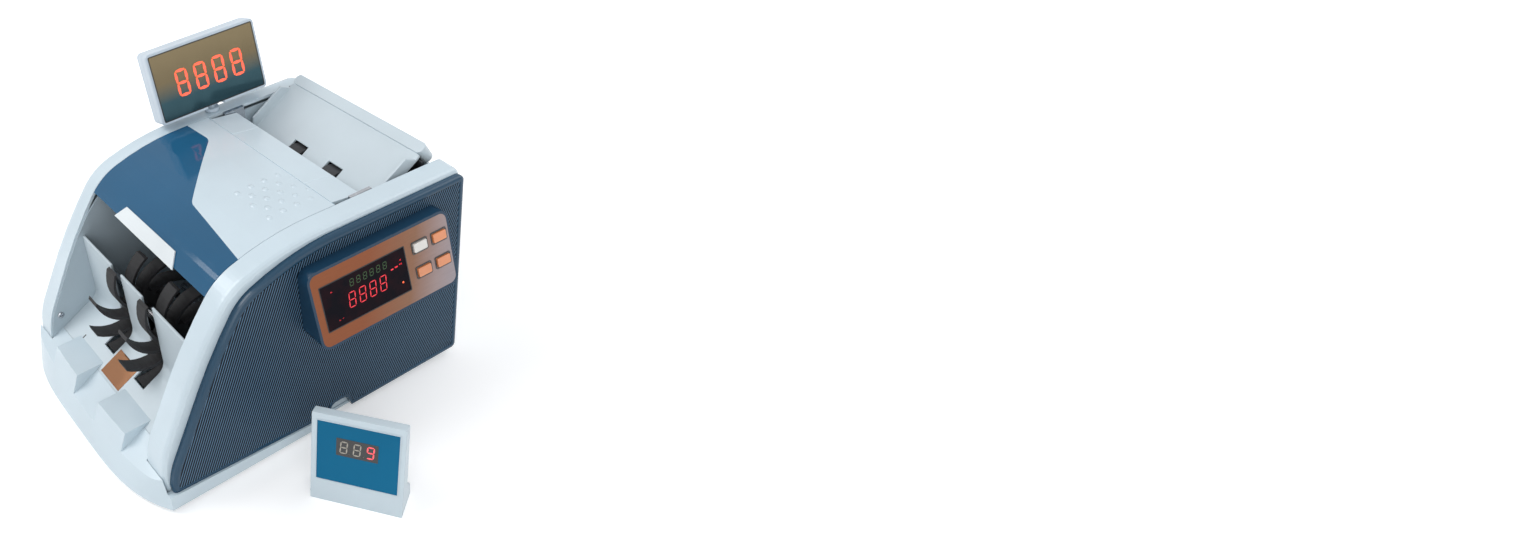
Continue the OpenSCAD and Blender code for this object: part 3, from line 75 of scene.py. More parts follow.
REMOTE = place((174.3, 85.6, 0), REMOTE_TURN @ Vector((1, 0, 0)),
               REMOTE_TURN @ Vector((0, sin(REMOTE_LEAN), cos(REMOTE_LEAN))),
               REMOTE_TURN @ Vector((0, -cos(REMOTE_LEAN), sin(REMOTE_LEAN))))


# ---------------------------------------------------------------- finishes
def srgb(r, g, b):
    """A colour read in 0 to 255 steps, as the shader wants it."""
    return [((c / 255 + 0.055) / 1.055) ** 2.4 if c > 10 else c / 3294.6 for c in (r, g, b)] + [1]


def lighter(colour, k):
    return [min(1, c * k) for c in colour[:3]] + [1]


class Finish:
    """One material, with its object coordinates at hand."""

    def __init__(self, name, colour, rough, metallic=0.0, coat=0.0, coat_rough=0.05, shine=0.5):
        self.material = bpy.data.materials.new(name)
        self.material.use_nodes = True
        self.nodes = self.material.node_tree.nodes
        self.links = self.material.node_tree.links
        self.skin = self.nodes["Principled BSDF"]
        self.skin.inputs["Base Color"].default_value = colour
        self.skin.inputs["Roughness"].default_value = rough
        self.skin.inputs["Metallic"].default_value = metallic
        self.skin.inputs["Coat Weight"].default_value = coat
        self.skin.inputs["Coat Roughness"].default_value = coat_rough
        self.skin.inputs["Specular IOR Level"].default_value = shine
        self.coords = self.nodes.new("ShaderNodeTexCoord").outputs["Object"]

    def feed(self, socket, value):
        if isinstance(value, bpy.types.NodeSocket):
            self.links.new(value, socket)
        else:
            socket.default_value = value

    def node(self, kind, **inputs):
        n = self.nodes.new("ShaderNode" + kind)
        for key, value in inputs.items():
            self.feed(n.inputs[key.replace("_", " ")], value)
        return n

    def math(self, operation, *values):
        n = self.node("Math")
        n.operation = operation
        for socket, value in zip(n.inputs, values):
            self.feed(socket, value)
        return n.outputs["Value"]

    def stretched(self, *scale):
        return self.node("Mapping", Vector=self.coords, Scale=scale).outputs["Vector"]

    def noise(self, scale, detail=3.0, where=None):
        return self.node("TexNoise", Vector=where or self.coords, Scale=scale, Detail=detail).outputs["Fac"]

    def ramp(self, fac, *stops):
        """stops are (position, colour)."""
        n = self.node("ValToRGB", Fac=fac)
        bars = n.color_ramp.elements
        while len(bars) < len(stops):
            bars.new(0.5)
        for bar, (at, colour) in zip(bars, stops):
            bar.position, bar.color = at, colour
        return n.outputs["Color"]

    def ranged(self, value, low, high, start=0.3, end=0.7):
        return self.node("MapRange", Value=value, From_Min=start, From_Max=end,
                         To_Min=low, To_Max=high).outputs["Result"]

    def multiplied(self, tone, by, share):
        n = self.node("MixRGB", Color1=tone, Color2=by, Fac=share)
        n.blend_type = "MULTIPLY"
        return n.outputs["Color"]

    def paint(self, socket, name="Base Color"):
        self.links.new(socket, self.skin.inputs[name])
        return self

    def grain(self, height, depth_mm, strength=1.0):
        b = self.node("Bump", Height=height, Strength=strength, Distance=depth_mm * MM)
        self.links.new(b.outputs["Normal"], self.skin.inputs["Normal"])
        return self


def moulded(name, colour, rough, spark=0.02, coat=0.0):
    """Injection-moulded plastic: a fine spark grain, slow shifts of tone, rubbed and duller spots."""
    f = Finish(name, colour, rough, coat=coat, coat_rough=0.12)
    f.paint(f.ramp(f.noise(14, 4), (0.35, lighter(colour, 0.965)), (0.65, lighter(colour, 1.025))))
    f.paint(f.ranged(f.noise(40, 5), rough - 0.05, rough + 0.06), "Roughness")
    return f.grain(f.noise(1700, 2), spark, 0.6).material


def glossy(name, colour, rough, coat=0.6, shine=0.5):
    """Polished plastic or film: slow shifts of tone, and faint smears from hands."""
    f = Finish(name, colour, rough, coat=coat, coat_rough=0.04, shine=shine)
    f.paint(f.ramp(f.noise(9, 3), (0.3, lighter(colour, 0.92)), (0.7, lighter(colour, 1.06))))
    f.paint(f.ranged(f.noise(55, 6), rough - 0.03, rough + 0.06), "Roughness")
    return f.grain(f.noise(60, 2), 0.03, 0.25).material


def metal(name, colour, rough, lines=(40, 2500, 2500)):
    """Drawn or ground metal: fine lines along the piece's long axis."""
    f = Finish(name, colour, rough, metallic=1.0)
    streak = f.noise(1, 4, f.stretched(*lines))
    f.paint(f.ramp(streak, (0.3, lighter(colour, 0.82)), (0.7, lighter(colour, 1.08))))
    f.paint(f.ranged(streak, rough - 0.08, rough + 0.1), "Roughness")
    return f.grain(streak, 0.01, 0.5).material


def rubber(name, colour, rough=0.75, bite=0.05):
    """Dull and mottled; bite is the depth of its grain."""
    f = Finish(name, colour, rough)
    f.paint(f.ramp(f.noise(60, 5), (0.3, lighter(colour, 0.7)), (0.7, lighter(colour, 1.35))))
    return f.grain(f.noise(900, 4), bite, 0.8).material


def lit(name, colour, strength):
    """A lamp's face: dark, with a glow of its own."""
    unlit = (0.01, 0.005, 0.005, 1)
    f = Finish(name, unlit, 0.3)
    f.skin.inputs["Emission Color"].default_value = colour
    f.skin.inputs["Emission Strength"].default_value = strength
    return f.paint(f.ramp(f.noise(800, 2), (0.3, unlit), (0.7, lighter(unlit, 1.6)))).material


def brushed_copper():
    """The control face: copper at the window, turning mauve-grey round the keys."""
    f = Finish("brushed_copper", srgb(140, 82, 48), 0.34, metallic=0.55)
    along = f.node("SeparateXYZ", Vector=f.coords).outputs
    slant = f.math("MULTIPLY_ADD", along["Z"], -0.35, along["Y"])
    tone = f.ramp(f.ranged(slant, 0, 1, -0.045, 0.095),
                  (0.0, srgb(134, 76, 44)), (0.3, srgb(134, 76, 46)), (0.62, srgb(134, 97, 75)),
                  (0.80, srgb(150, 132, 130)), (1.0, srgb(150, 146, 154)))
    streak = f.noise(1, 5, f.stretched(3000, 60, 3000))
    lines = f.ramp(streak, (0.3, (0.72, 0.72, 0.72, 1)), (0.7, (1.15, 1.15, 1.15, 1)))
    f.paint(f.multiplied(tone, lines, 0.35))
    f.paint(f.ranged(streak, 0.28, 0.42), "Roughness")
    return f.grain(streak, 0.008, 0.4).material


def window_black():
    """Deep smoked glass, with the faint reddish depth of the unlit lamps behind it."""
    f = Finish("window_black", srgb(16, 11, 18), 0.1, shine=0.06)
    f.paint(f.ramp(f.noise(90, 3), (0.35, srgb(12, 10, 20)), (0.7, srgb(34, 12, 20))))
    return f.paint(f.ranged(f.noise(60, 4), 0.07, 0.13), "Roughness").material


def smoked_mirror(name, colour, metallic, painted_reflection=None, low=0, high=0):
    """A half-silvered window. Given a lower tone, its colour is painted down to that tone from high to low
    above the desk: a painted reflection on the window's lower part.
    """
    f = Finish(name, colour, 0.07, metallic=metallic, coat=0.5 if painted_reflection is None else 0.0, coat_rough=0.03)
    if painted_reflection is None:
        f.paint(f.ramp(f.noise(8, 2), (0.3, lighter(colour, 0.9)), (0.7, lighter(colour, 1.12))))
    else:
        height = f.node("SeparateXYZ", Vector=f.coords).outputs["Z"]
        f.paint(f.ramp(f.ranged(height, 0, 1, low * MM, high * MM),
                       (0.0, painted_reflection), (0.3, lighter(painted_reflection, 1.25)),
                       (0.62, lighter(colour, 0.8)), (1.0, lighter(colour, 1.05))))
    return f.paint(f.ranged(f.noise(70, 5), 0.05, 0.11), "Roughness").material


RIB = 1.05 * MM          # from a groove to the next ridge
RIB_WAY = Vector((0, cos(radians(27)), -sin(radians(27))))


def ribbed_navy():
    """Painted highlight on the ridges and painted shade down in the grooves, set by where each rib lies."""
    f = Finish("navy_rib", srgb(70, 98, 120), 0.38, shine=0.14)
    along = f.node("VectorMath", Vector=f.coords)
    along.operation = "DOT_PRODUCT"
    along.inputs[1].default_value = RIB_WAY * (pi / RIB)
    # Each rib's cosine paints shade into the grooves and a highlight onto the ridges.
    painted_rib_shade = f.math("COSINE", along.outputs["Value"])
    tone = f.ramp(f.ranged(painted_rib_shade, 1, 0, -1, 1), (0.4, srgb(3, 10, 18)), (0.68, srgb(17, 36, 54)),
                  (0.94, srgb(102, 136, 164)))
    patches = f.ramp(f.noise(11, 4), (0.35, (0.86, 0.87, 0.88, 1)), (0.65, (1.08, 1.08, 1.08, 1)))
    f.paint(f.multiplied(tone, patches, 0.5))
    return f.grain(f.noise(1500, 2), 0.012, 0.5).material


def circuit_green():
    """A board's lacquer, lighter where the copper tracks run."""
    f = Finish("circuit_green", srgb(18, 92, 58), 0.35, coat=0.4)
    tracks = f.node("TexVoronoi", Vector=f.coords, Scale=260.0)
    tracks.feature = "DISTANCE_TO_EDGE"
    f.paint(f.ramp(tracks.outputs["Distance"], (0.04, srgb(46, 132, 84)), (0.1, srgb(14, 78, 50))))
    return f.grain(tracks.outputs["Distance"], 0.03, 0.3).material


pale = moulded("pale_satin", srgb(199, 214, 222), 0.34, coat=0.3)
inner = moulded("pale_inner", srgb(196, 208, 214), 0.38)
navy_rib = ribbed_navy()
navy_smooth = glossy("navy_smooth", srgb(26, 58, 82), 0.14, 0.0, 0.36)
navy_rim = glossy("navy_rim", srgb(32, 68, 92), 0.14, 0.0, 0.36)
visor_blue = glossy("visor_blue", srgb(34, 90, 126), 0.06, 0.0, 0.26)
grey_paint = moulded("chassis_paint", srgb(168, 182, 190), 0.38, 0.015)
bright_steel = metal("bright_steel", srgb(196, 198, 202), 0.26)
chrome = metal("chrome", srgb(178, 182, 188), 0.12, (300, 300, 300))
black = moulded("black_satin", srgb(30, 31, 34), 0.42, 0.015)
black_gloss = glossy("black_gloss", srgb(16, 17, 20), 0.12)
black_rubber = rubber("black_rubber", srgb(34, 34, 36))
grey_rubber = rubber("grey_rubber", srgb(52, 53, 56), 0.7)
white_gloss = glossy("white_gloss", srgb(226, 232, 234), 0.2, 0.0)
motor_grey = metal("motor_grey", srgb(120, 122, 126), 0.42)
plated_grey = moulded("plated_grey", srgb(112, 116, 122), 0.34)
dull_steel = metal("dull_steel", srgb(214, 216, 220), 0.5, (400, 400, 400))
iron_black = rubber("varnished_iron", srgb(44, 44, 48), 0.5, 0.03)
signal_red = glossy("signal_red", srgb(206, 30, 52), 0.16)
port_blue = moulded("port_blue", srgb(28, 80, 124), 0.36)
turned_brass = metal("turned_brass", srgb(206, 184, 116), 0.22, (900, 900, 900))
copper = brushed_copper()
glass_black = window_black()
key_white = glossy("key_white", srgb(226, 222, 216), 0.22)
key_orange = glossy("key_orange", srgb(228, 142, 92), 0.22)
display_grey = moulded("display_grey", srgb(198, 210, 220), 0.36)
remote_grey = moulded("remote_grey", srgb(198, 212, 219), 0.4)
teal_film = glossy("teal_film", srgb(4, 100, 138), 0.34, 0.0, 0.14)
# The display window's lower part is painted dark and bluish: a painted reflection.
brown_mirror = smoked_mirror("brown_mirror", srgb(136, 122, 94), 0.8, srgb(44, 70, 78), 188, 240)
sensor_brown = smoked_mirror("sensor_brown", srgb(150, 100, 62), 0.6)
board_green = circuit_green()
red_led = lit("red_led", srgb(255, 40, 60), 1.05)
orange_led = lit("orange_led", srgb(255, 96, 44), 1.6)
pink_led = lit("pink_led", srgb(255, 86, 96), 1.5)
green_led = lit("green_led", srgb(52, 120, 48), 0.45)
dim_segment = moulded("dim_segment", srgb(168, 162, 150), 0.35)
groove_shade = moulded("groove_shade", srgb(112, 124, 138), 0.6)
label_white = moulded("label_white", srgb(244, 245, 246), 0.45)
mark_white = moulded("mark_white", srgb(236, 232, 230), 0.4)

node_finish = {
    pale: "base_tray side_frame_left side_frame_right top_cover rear_panel rear_upper_cover",
    inner: "stacker_tray hopper_front hopper_tray",
    navy_rim: "side_panel_left side_panel_right", navy_smooth: "control_pod",
    grey_paint: "chassis_left chassis_right note_chute",
    bright_steel: "tie_rods pickup_shaft feed_shaft pinch_shaft impeller_shaft motor_pulley",
    chrome: "cover_brackets cover_screws",
    # hopper_backing takes this black as painted shade, for the dark cavity behind the hopper.
    black: "gap_ring hopper_backing pickup_pulley feed_pulley impeller_pulley "
           "power_inlet fuse_drawer rocker_frame",
    black_rubber: "feet impeller_wheels drive_belts",
    grey_rubber: "pickup_rollers feed_rollers pinch_rollers retard_block",
    visor_blue: "front_visor", white_gloss: "sign_plate", motor_grey: "drive_motor",
    board_green: "main_board control_board", iron_black: "transformer", signal_red: "power_rocker",
    port_blue: "data_port", turned_brass: "gap_screw", copper: "control_faceplate",
    glass_black: "control_window", key_white: "key_upper_front",
    key_orange: "key_upper_rear key_lower_front key_lower_rear",
    display_grey: "display_mount display_post display_case", brown_mirror: "display_window",
    sensor_brown: "stacker_window", remote_grey: "remote_case", teal_film: "remote_window",
}
FINISH_OF = {n: m for m, names in node_finish.items() for n in names.split()}
BODY_OF = {n: b for b, names in frame["record"]["behaviour"]["bodies"].items() for n in names}
for name, ob in frame["nodes"].items():
    ob.data.materials.clear()
    ob.data.materials.append(FINISH_OF[name])


# ---------------------------------------------------------------- making pieces
def made(bm, name, finish, matrix=None, angle=30):
    """Turns the bmesh into an object; edges sharper than angle stay crisp."""
    if matrix is not None:
        bmesh.ops.transform(bm, matrix=matrix, verts=bm.verts)
    bmesh.ops.recalc_face_normals(bm, faces=bm.faces)
    mesh = bpy.data.meshes.new(name)
    bm.to_mesh(mesh)
    bm.free()
    mesh.materials.append(finish)
    mesh.shade_smooth()
    mesh.set_sharp_from_angle(angle=radians(angle))
    ob = bpy.data.objects.new(name, mesh)
    even = ob.modifiers.new("even_shading", "WEIGHTED_NORMAL")
    even.keep_sharp = True
    bpy.context.scene.collection.objects.link(ob)
    return ob


def keep(bm, name, finish, body, matrix=None, angle=30):
    """Turns the bmesh into a finished piece that rides on a body."""
    ob = made(bm, name, finish, matrix, angle)
    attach(ob, body)
    return ob


def stands_for(bm, node, ending="_finished", angle=30):
    """A finished piece that is shown instead of a CAD node."""
    ob = keep(bm, node + ending, FINISH_OF[node], BODY_OF[node], angle=angle)
    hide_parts(node)
    return ob


def merged(node):
    """A welded copy of a CAD node with its flat faces whole again."""
    bm = bmesh.new()
    bm.from_mesh(frame["nodes"][node].data)
    bmesh.ops.remove_doubles(bm, verts=bm.verts, dist=2e-6)
    bmesh.ops.dissolve_limit(bm, angle_limit=radians(0.5), verts=bm.verts, edges=bm.edges)
    return bm


def softened(node, width, segments=2, corner=32):
    """Stands for a CAD node, with the small edge rounding that a mould leaves."""
    bm = merged(node)
    edges = [e for e in bm.edges if e.is_manifold and e.calc_face_angle(0) > radians(corner)]
    bmesh.ops.bevel(bm, geom=edges, offset=width * MM, offset_type="OFFSET", segments=segments,
                    profile=0.5, affect="EDGES", clamp_overlap=True, material=-1)
    stands_for(bm, node, "_moulded")


def only(kind, geom):
    return [g for g in geom if isinstance(g, kind)]


def whole(faces):
    """Faces with their edges and corners, as a cut wants them."""
    return faces + list({e for f in faces for e in f.edges}) + list({v for f in faces for v in f.verts})


def disc(bm, radius, segments, at=(0, 0, 0)):
    ring = bmesh.ops.create_circle(bm, cap_ends=True, segments=segments, radius=radius)["verts"]
    bmesh.ops.translate(bm, vec=at, verts=ring)
    return ring[0].link_faces[0]


def outline_face(bm, w, h, r, at=(0, 0, 0)):
    """A flat face with rounded corners, as the start of a plate or a frame."""
    corners = bmesh.ops.create_grid(bm, x_segments=1, y_segments=1, size=0.5)["verts"]
    bmesh.ops.scale(bm, vec=(w, h, 1), verts=corners)
    bmesh.ops.translate(bm, vec=at, verts=corners)
    bmesh.ops.bevel(bm, geom=corners, offset=r, offset_type="OFFSET", segments=5,
                    profile=0.5, affect="VERTICES", clamp_overlap=True, material=-1)
    # Known fault: where one mesh holds several plates, an older plate's face can win here.
    face = max(bm.faces, key=lambda f: f.calc_area()
               if f.calc_center_median().z == at[2] and not f.tag else 0)
    face.tag = True
    return face


def raised(bm, faces, height):
    """Pulls flat faces up into a solid and returns the faces on top."""
    grown = bmesh.ops.extrude_face_region(bm, geom=faces)["geom"]
    bmesh.ops.translate(bm, vec=(0, 0, height), verts=only(bmesh.types.BMVert, grown))
    for f in bm.faces:
        f.tag = True
    return only(bmesh.types.BMFace, grown)


def plate(bm, w, h, t, r, at=(0, 0, 0), edge=0.0):
    """A slab with rounded corners; edge rounds the rim on top."""
    top = raised(bm, [outline_face(bm, w, h, r, at)], t)
    if edge:
        bmesh.ops.bevel(bm, geom=list({e for f in top for e in f.edges}), offset=edge,
                        offset_type="OFFSET", segments=2, profile=0.5, affect="EDGES",
                        clamp_overlap=True, material=-1)


def surround(bm, w, h, r, band, t, at=(0, 0, 0)):
    """A flat frame: the band lies inside w by h."""
    face = outline_face(bm, w, h, r, at)
    ring = bmesh.ops.inset_individual(bm, faces=[face], thickness=band, use_even_offset=True)["faces"]
    bmesh.ops.delete(bm, geom=[face], context="FACES_ONLY")
    raised(bm, ring, t)


BARS = {"8": "abcdefg", "9": "abcdfg"}


def digit(bm, at, w, h, bar, t, slant=0.0, shape="8", gap=0.25):
    """A seven-segment digit of six-sided bars; w and h are to the bars' middle lines."""
    half = h / 2
    where = {"a": (0, half, 0), "g": (0, 0, 0), "d": (0, -half, 0), "f": (-w / 2, half / 2, 1),
             "b": (w / 2, half / 2, 1), "e": (-w / 2, -half / 2, 1), "c": (w / 2, -half / 2, 1)}
    for name in BARS[shape]:
        x, y, upright = where[name]
        length = (half if upright else w) - 2 * gap
        ring = bmesh.ops.create_circle(bm, cap_ends=True, segments=6, radius=bar / 2)["verts"]
        for v in ring:
            if abs(v.co.x) > bar * 0.1:
                v.co.x += (length - bar) / 2 * (1 if v.co.x > 0 else -1)
        if upright:
            bmesh.ops.rotate(bm, matrix=Matrix.Rotation(pi / 2, 3, "Z"), verts=ring)
        bmesh.ops.translate(bm, vec=(x, y, 0), verts=ring)
        for v in ring:
            v.co.x += v.co.y * slant
        bmesh.ops.translate(bm, vec=at, verts=ring)
        raised(bm, [ring[0].link_faces[0]], t)


def digits(bm, count, pitch, first, *size, **look):
    for k in range(count):
        digit(bm, (first[0] + pitch * k, *first[1:]), *size, **look)


def screw(bm, matrix, shank, r=3.0, h=1.6):
    """A pan head with a cross recess; matrix puts the seat's middle and the way out."""
    before = set(bm.verts)
    raised(bm, [disc(bm, r / 2, 12)], -shank)
    top = raised(bm, [disc(bm, r, 24)], h * 0.5)
    for thickness, depth in ((0.13, 0.26), (0.27, 0.2)):
        bmesh.ops.inset_individual(bm, faces=top, thickness=r * thickness, depth=h * depth,
                                   use_even_offset=True)
    cap = list(top)
    for no in ((1, 0, 0), (0, 1, 0)):
        for side in (-0.16, 0.16):
            cut = bmesh.ops.bisect_plane(bm, geom=whole(cap), plane_co=Vector(no) * side * r,
                                         plane_no=no, dist=1e-5)
            cap = only(bmesh.types.BMFace, cut["geom"])
    cross = [f for f in cap
             if min(abs(f.calc_center_median().x), abs(f.calc_center_median().y)) < 0.15 * r]
    bmesh.ops.inset_region(bm, faces=cross, thickness=0.06 * r, depth=-h * 0.55, use_even_offset=True)
    bmesh.ops.transform(bm, matrix=matrix, verts=[v for v in bm.verts if v not in before])


def seam(bm, matrix, at, across, width, depth, chosen):
    """A seam line: three cuts side by side through the chosen faces, the middle one sunk."""
    no = (matrix.to_3x3() @ Vector(across)).normalized()
    for k in (-0.5, 0.5, 0):
        cut = bmesh.ops.bisect_plane(bm, geom=whole([f for f in bm.faces if chosen(f)]),
                                     plane_co=matrix @ (Vector(at) + Vector(across) * k * width),
                                     plane_no=no, dist=1e-7)
    bm.normal_update()
    for v in only(bmesh.types.BMVert, cut["geom_cut"]):
        lean = sum((f.normal for f in v.link_faces if chosen(f)), Vector())
        v.co -= lean.normalized() * depth * MM


# ---------------------------------------------------------------- ribbed side panels
PANEL_LEAN = radians(2)
RIM_STEPS, RIM_STEP = 2, 0.9
RIB_HEIGHT = 0.36


def ribbed_panel(side):
    """A smooth rim round a sunken field of slanting ribs."""
    bm = merged("side_panel_" + side)
    out = Vector(((1 if side == "right" else -1) * cos(PANEL_LEAN), 0, sin(PANEL_LEAN)))

    def widest():
        bm.normal_update()
        return max((f for f in bm.faces if f.normal.dot(out) > 0.9995), key=lambda f: f.calc_area())

    def inward(thickness, depth=0.0, weld=0.3):
        """One step in from the field's edge, with the corners' short edges welded first."""
        bmesh.ops.remove_doubles(bm, verts=list(widest().verts), dist=weld * MM)
        face = widest()
        bmesh.ops.inset_individual(bm, faces=[face], thickness=thickness * MM, depth=depth * MM,
                                   use_even_offset=True)
        return face

    for _ in range(RIM_STEPS):
        inward(RIM_STEP)
    inward(0.35, -0.6, 0.2)
    strips = [inward(0.4, 0, 0.2)]
    span = [v.co.dot(RIB_WAY) / RIB for v in strips[0].verts]
    for k in range(int(min(span)) - 1, int(max(span)) + 2):
        ahead = [f for f in strips if max(v.co.dot(RIB_WAY) for v in f.verts) > (k + 1e-4) * RIB]
        if min((v.co.dot(RIB_WAY) for f in ahead for v in f.verts), default=9) >= k * RIB:
            continue
        cut = bmesh.ops.bisect_plane(bm, geom=whole(ahead), plane_co=RIB_WAY * k * RIB,
                                     plane_no=RIB_WAY, dist=1e-8)
        strips = only(bmesh.types.BMFace, cut["geom"])
        for f in strips:
            f.material_index = 1
    for v in {v for f in bm.faces if f.material_index == 1 for v in f.verts}:
        v.co += out * RIB_HEIGHT * MM * (1 - abs(v.co.dot(RIB_WAY) / RIB % 2 - 1))
    stands_for(bm, "side_panel_" + side, angle=20).data.materials.append(navy_rib)


ribbed_panel("right")
ribbed_panel("left")

# ---------------------------------------------------------------- softened mouldings
for width, nodes in (
        (0.35, "display_post rocker_frame key_upper_front key_upper_rear key_lower_front key_lower_rear"),
        (0.25, "sign_plate fuse_drawer power_rocker"),
        (0.6, "rear_upper_cover remote_case base_tray stacker_tray display_mount")):
    for node in nodes.split():
        softened(node, width)
softened("hopper_tray", 1.1, 3)

# ---------------------------------------------------------------- top cover
HINGE_SEAM_Y, SIDE_SEAM_X = 182.9, 52
ABOVE_ALL = 260


def facing_up(f):
    return f.normal.z > 0.6


def hinge_bar(f):
    return facing_up(f) and f.calc_center_median().y > (HINGE_SEAM_Y - SET_MIDDLE.y) * MM


bm = merged("top_cover")
for x in (-SIDE_SEAM_X, SIDE_SEAM_X):
    seam(bm, MACHINE, (x, 0, 0), (1, 0, 0), 0.9, 0.35, hinge_bar)
deck = BVHTree.FromBMesh(bm)
seam(bm, MACHINE, (0, HINGE_SEAM_Y, 0), (0, 1, 0), 1.4, 0.5, facing_up)
stands_for(bm, "top_cover", angle=6)

bm = bmesh.new()
dot = Matrix.Translation((0, 0, -1.5 * MM)) @ Matrix.Diagonal((4.6 * MM, 3.2 * MM, 2.3 * MM, 1))
for row in range(4):
    for k in range(5):
        x, y = 28.5 + 11 * k, 137 + 12.5 * row + (6.2 if k % 2 else 0)
        over = (Vector((x, y, ABOVE_ALL)) - SET_MIDDLE) * MM
        spot, lean = deck.ray_cast(over, Vector((0, 0, -1)))[:2]
        dome = bmesh.ops.create_uvsphere(bm, u_segments=16, v_segments=8, radius=1)["verts"]
        turn = lean.to_track_quat("Z", "Y").to_matrix().to_4x4()
        bmesh.ops.transform(bm, matrix=Matrix.Translation(spot) @ turn @ dot, verts=dome)
keep(bm, "cover_grip_dots", pale, "cover")

# ---------------------------------------------------------------- control face
bm = bmesh.new()
digits(bm, 4, 9.6, (31.5, 27.3, 0), 5.4, 11.4, 0.9, 0.06, slant=0.12, gap=0.35)
keep(bm, "count_digits", red_led, "machine", POD)
bm = bmesh.new()
digits(bm, 6, 6.1, (34, 40.2, 0), 3.0, 5.2, 0.55, 0.05, slant=0.12, gap=0.15)
keep(bm, "batch_digits", green_led, "machine", POD)
bm = bmesh.new()
for x, y, w in ((70.2, 34.2, 2.4), (74.2, 34.6, 2.8), (78.4, 35.2, 2.6), (78.8, 38.4, 1.6)):
    plate(bm, w, 1.1, 0.05, 0.3, (x, y, 0))
for x, y in ((17.5, 16.2), (20.5, 16.6), (15.5, 40.2)):
    plate(bm, 1.5, 0.8, 0.05, 0.2, (x, y, 0))
keep(bm, "mode_lamps", red_led, "machine", POD)
bm = bmesh.new()
plate(bm, 1.5, 1.5, 0.05, 0.6, (77.6, 20.2, 0))
keep(bm, "ready_lamp", orange_led, "machine", POD)
# Black frames round the keys: partly their real bezels, partly painted shade round each key.
bm = bmesh.new()
for i in (0, 1):
    for j in (0, 1):
        surround(bm, 15.4, 10.2, 1.4, 0.9, 0.4, (98.3 + 18.8 * i, 21.5 + 20.4 * j, 0))
keep(bm, "key_bezels_and_shade", black_gloss, "machine", POD)
bm = bmesh.new()
surround(bm, 78.6, 37.1, 0.8, 0.8, 0.12, (45, 29.25, 0))
keep(bm, "window_edge", black, "machine", POD)

# ---------------------------------------------------------------- pop-up display
DISPLAY_MIDDLE, DISPLAY_FRONT = 28.3, 9.76


def outer_wall(f):
    """The case's side walls, seen from outside, without its front and back."""
    local = DISPLAY.inverted() @ f.calc_center_median() - Vector((0, DISPLAY_MIDDLE, 0))
    way = DISPLAY.to_3x3().inverted() @ f.normal
    return abs(way.z) < 0.2 * way.length and way.x * local.x + way.y * local.y > 0


bm = merged("display_case")
for out in (3.2, -4.4):
    seam(bm, DISPLAY, (0, 0, out), (0, 0, 1), 0.8, 0.45, outer_wall)
stands_for(bm, "display_case")
bm = bmesh.new()
digits(bm, 4, 18.2, (-25.5, 27.6, 9.82), 9.6, 21.0, 2.7, 0.06)
keep(bm, "display_digits", orange_led, "display", DISPLAY)
bm = bmesh.new()
digits(bm, 4, 18.2, (-25.5, 27.6, 9.87), 9.6, 21.0, 0.9, 0.05, gap=1.2)
keep(bm, "display_digit_cores", pink_led, "display", DISPLAY)
bm = bmesh.new()
surround(bm, 102.2, 57.2, 1.4, 0.9, 0.15, (0, DISPLAY_MIDDLE, DISPLAY_FRONT))
keep(bm, "display_window_edge", black, "display", DISPLAY)

# ---------------------------------------------------------------- desk display
LED_Y, LED_FRONT = 50.1, 0.12

bm = bmesh.new()
for x in (-0.25, 70.25):
    for k in range(6):
        plate(bm, 0.7, 1.1, 7.5, 0.2, (x, 5.5 + 3.4 * k, -16.5 + 1.1 * k))
keep(bm, "desk_grip_ridges", remote_grey, "desk_display", REMOTE)
bm = bmesh.new()
surround(bm, 62.6, 51.3, 1.0, 0.5, 0.5, (35.3, 44.25, 0))
keep(bm, "desk_window_edge", remote_grey, "desk_display", REMOTE)
bm = bmesh.new()
plate(bm, 31.4, 14.8, LED_FRONT, 0.4, (35.0, LED_Y, 0))
keep(bm, "desk_led_box", black_gloss, "desk_display", REMOTE)
bm = bmesh.new()
digits(bm, 2, 10.0, (25.0, LED_Y, LED_FRONT), 4.8, 9.4, 1.1, 0.06, slant=0.08)
for x in (29.5, 39.5):
    plate(bm, 1.1, 1.1, 0.06, 0.4, (x, 45.1, LED_FRONT))
keep(bm, "desk_digits_unlit", dim_segment, "desk_display", REMOTE)
bm = bmesh.new()
digit(bm, (45.0, LED_Y, LED_FRONT), 4.8, 9.4, 1.2, 0.06, slant=0.08, shape="9")
keep(bm, "desk_digit_lit", pink_led, "desk_display", REMOTE)

# ---------------------------------------------------------------- rear face
INLET_X, INLET_Z = 32.5, 34.5
DATA_X, DATA_Z = 64.5, 68.5
SLOT = (63.8, 35.0, -2)

bm = bmesh.new()
plate(bm, 64.5, 32.4, 0.2, 1.2, (-42.25, 75.2, 0), edge=0.06)
keep(bm, "rear_label_place", label_white, "machine", REAR)
bm = bmesh.new()
surround(bm, 6.4, 11.4, 1.0, 0.8, 0.35, SLOT)
keep(bm, "slot_edge", pale, "machine", REAR)
# Painted shade: a black plate stands for the dark inside of the slot.
bm = bmesh.new()
plate(bm, 4.9, 9.9, 0.08, 0.5, SLOT)
keep(bm, "slot_opening_shade", black, "machine", REAR)
bm = bmesh.new()
for x, y in ((-7, 2.5), (0, 7), (7, 2.5)):
    plate(bm, 2.2, 4.2, 13.1, 0.5, (INLET_X + x, INLET_Z + y, -17.05), edge=0.5)
keep(bm, "inlet_pins", chrome, "machine", REAR)
bm = bmesh.new()
for row, n in ((1.4, 5), (-1.4, 4)):
    for k in range(n):
        raised(bm, [disc(bm, 0.5, 10, (DATA_X + 2.7 * (k - (n - 1) / 2), DATA_Z + row, -0.1))], 4.2)
keep(bm, "data_pins", dull_steel, "machine", REAR)
bm = bmesh.new()
plate(bm, 14.0, 15.4, 0.7, 1.0, (DATA_X, DATA_Z, -1), edge=0.2)
keep(bm, "data_flange", plated_grey, "machine", REAR)


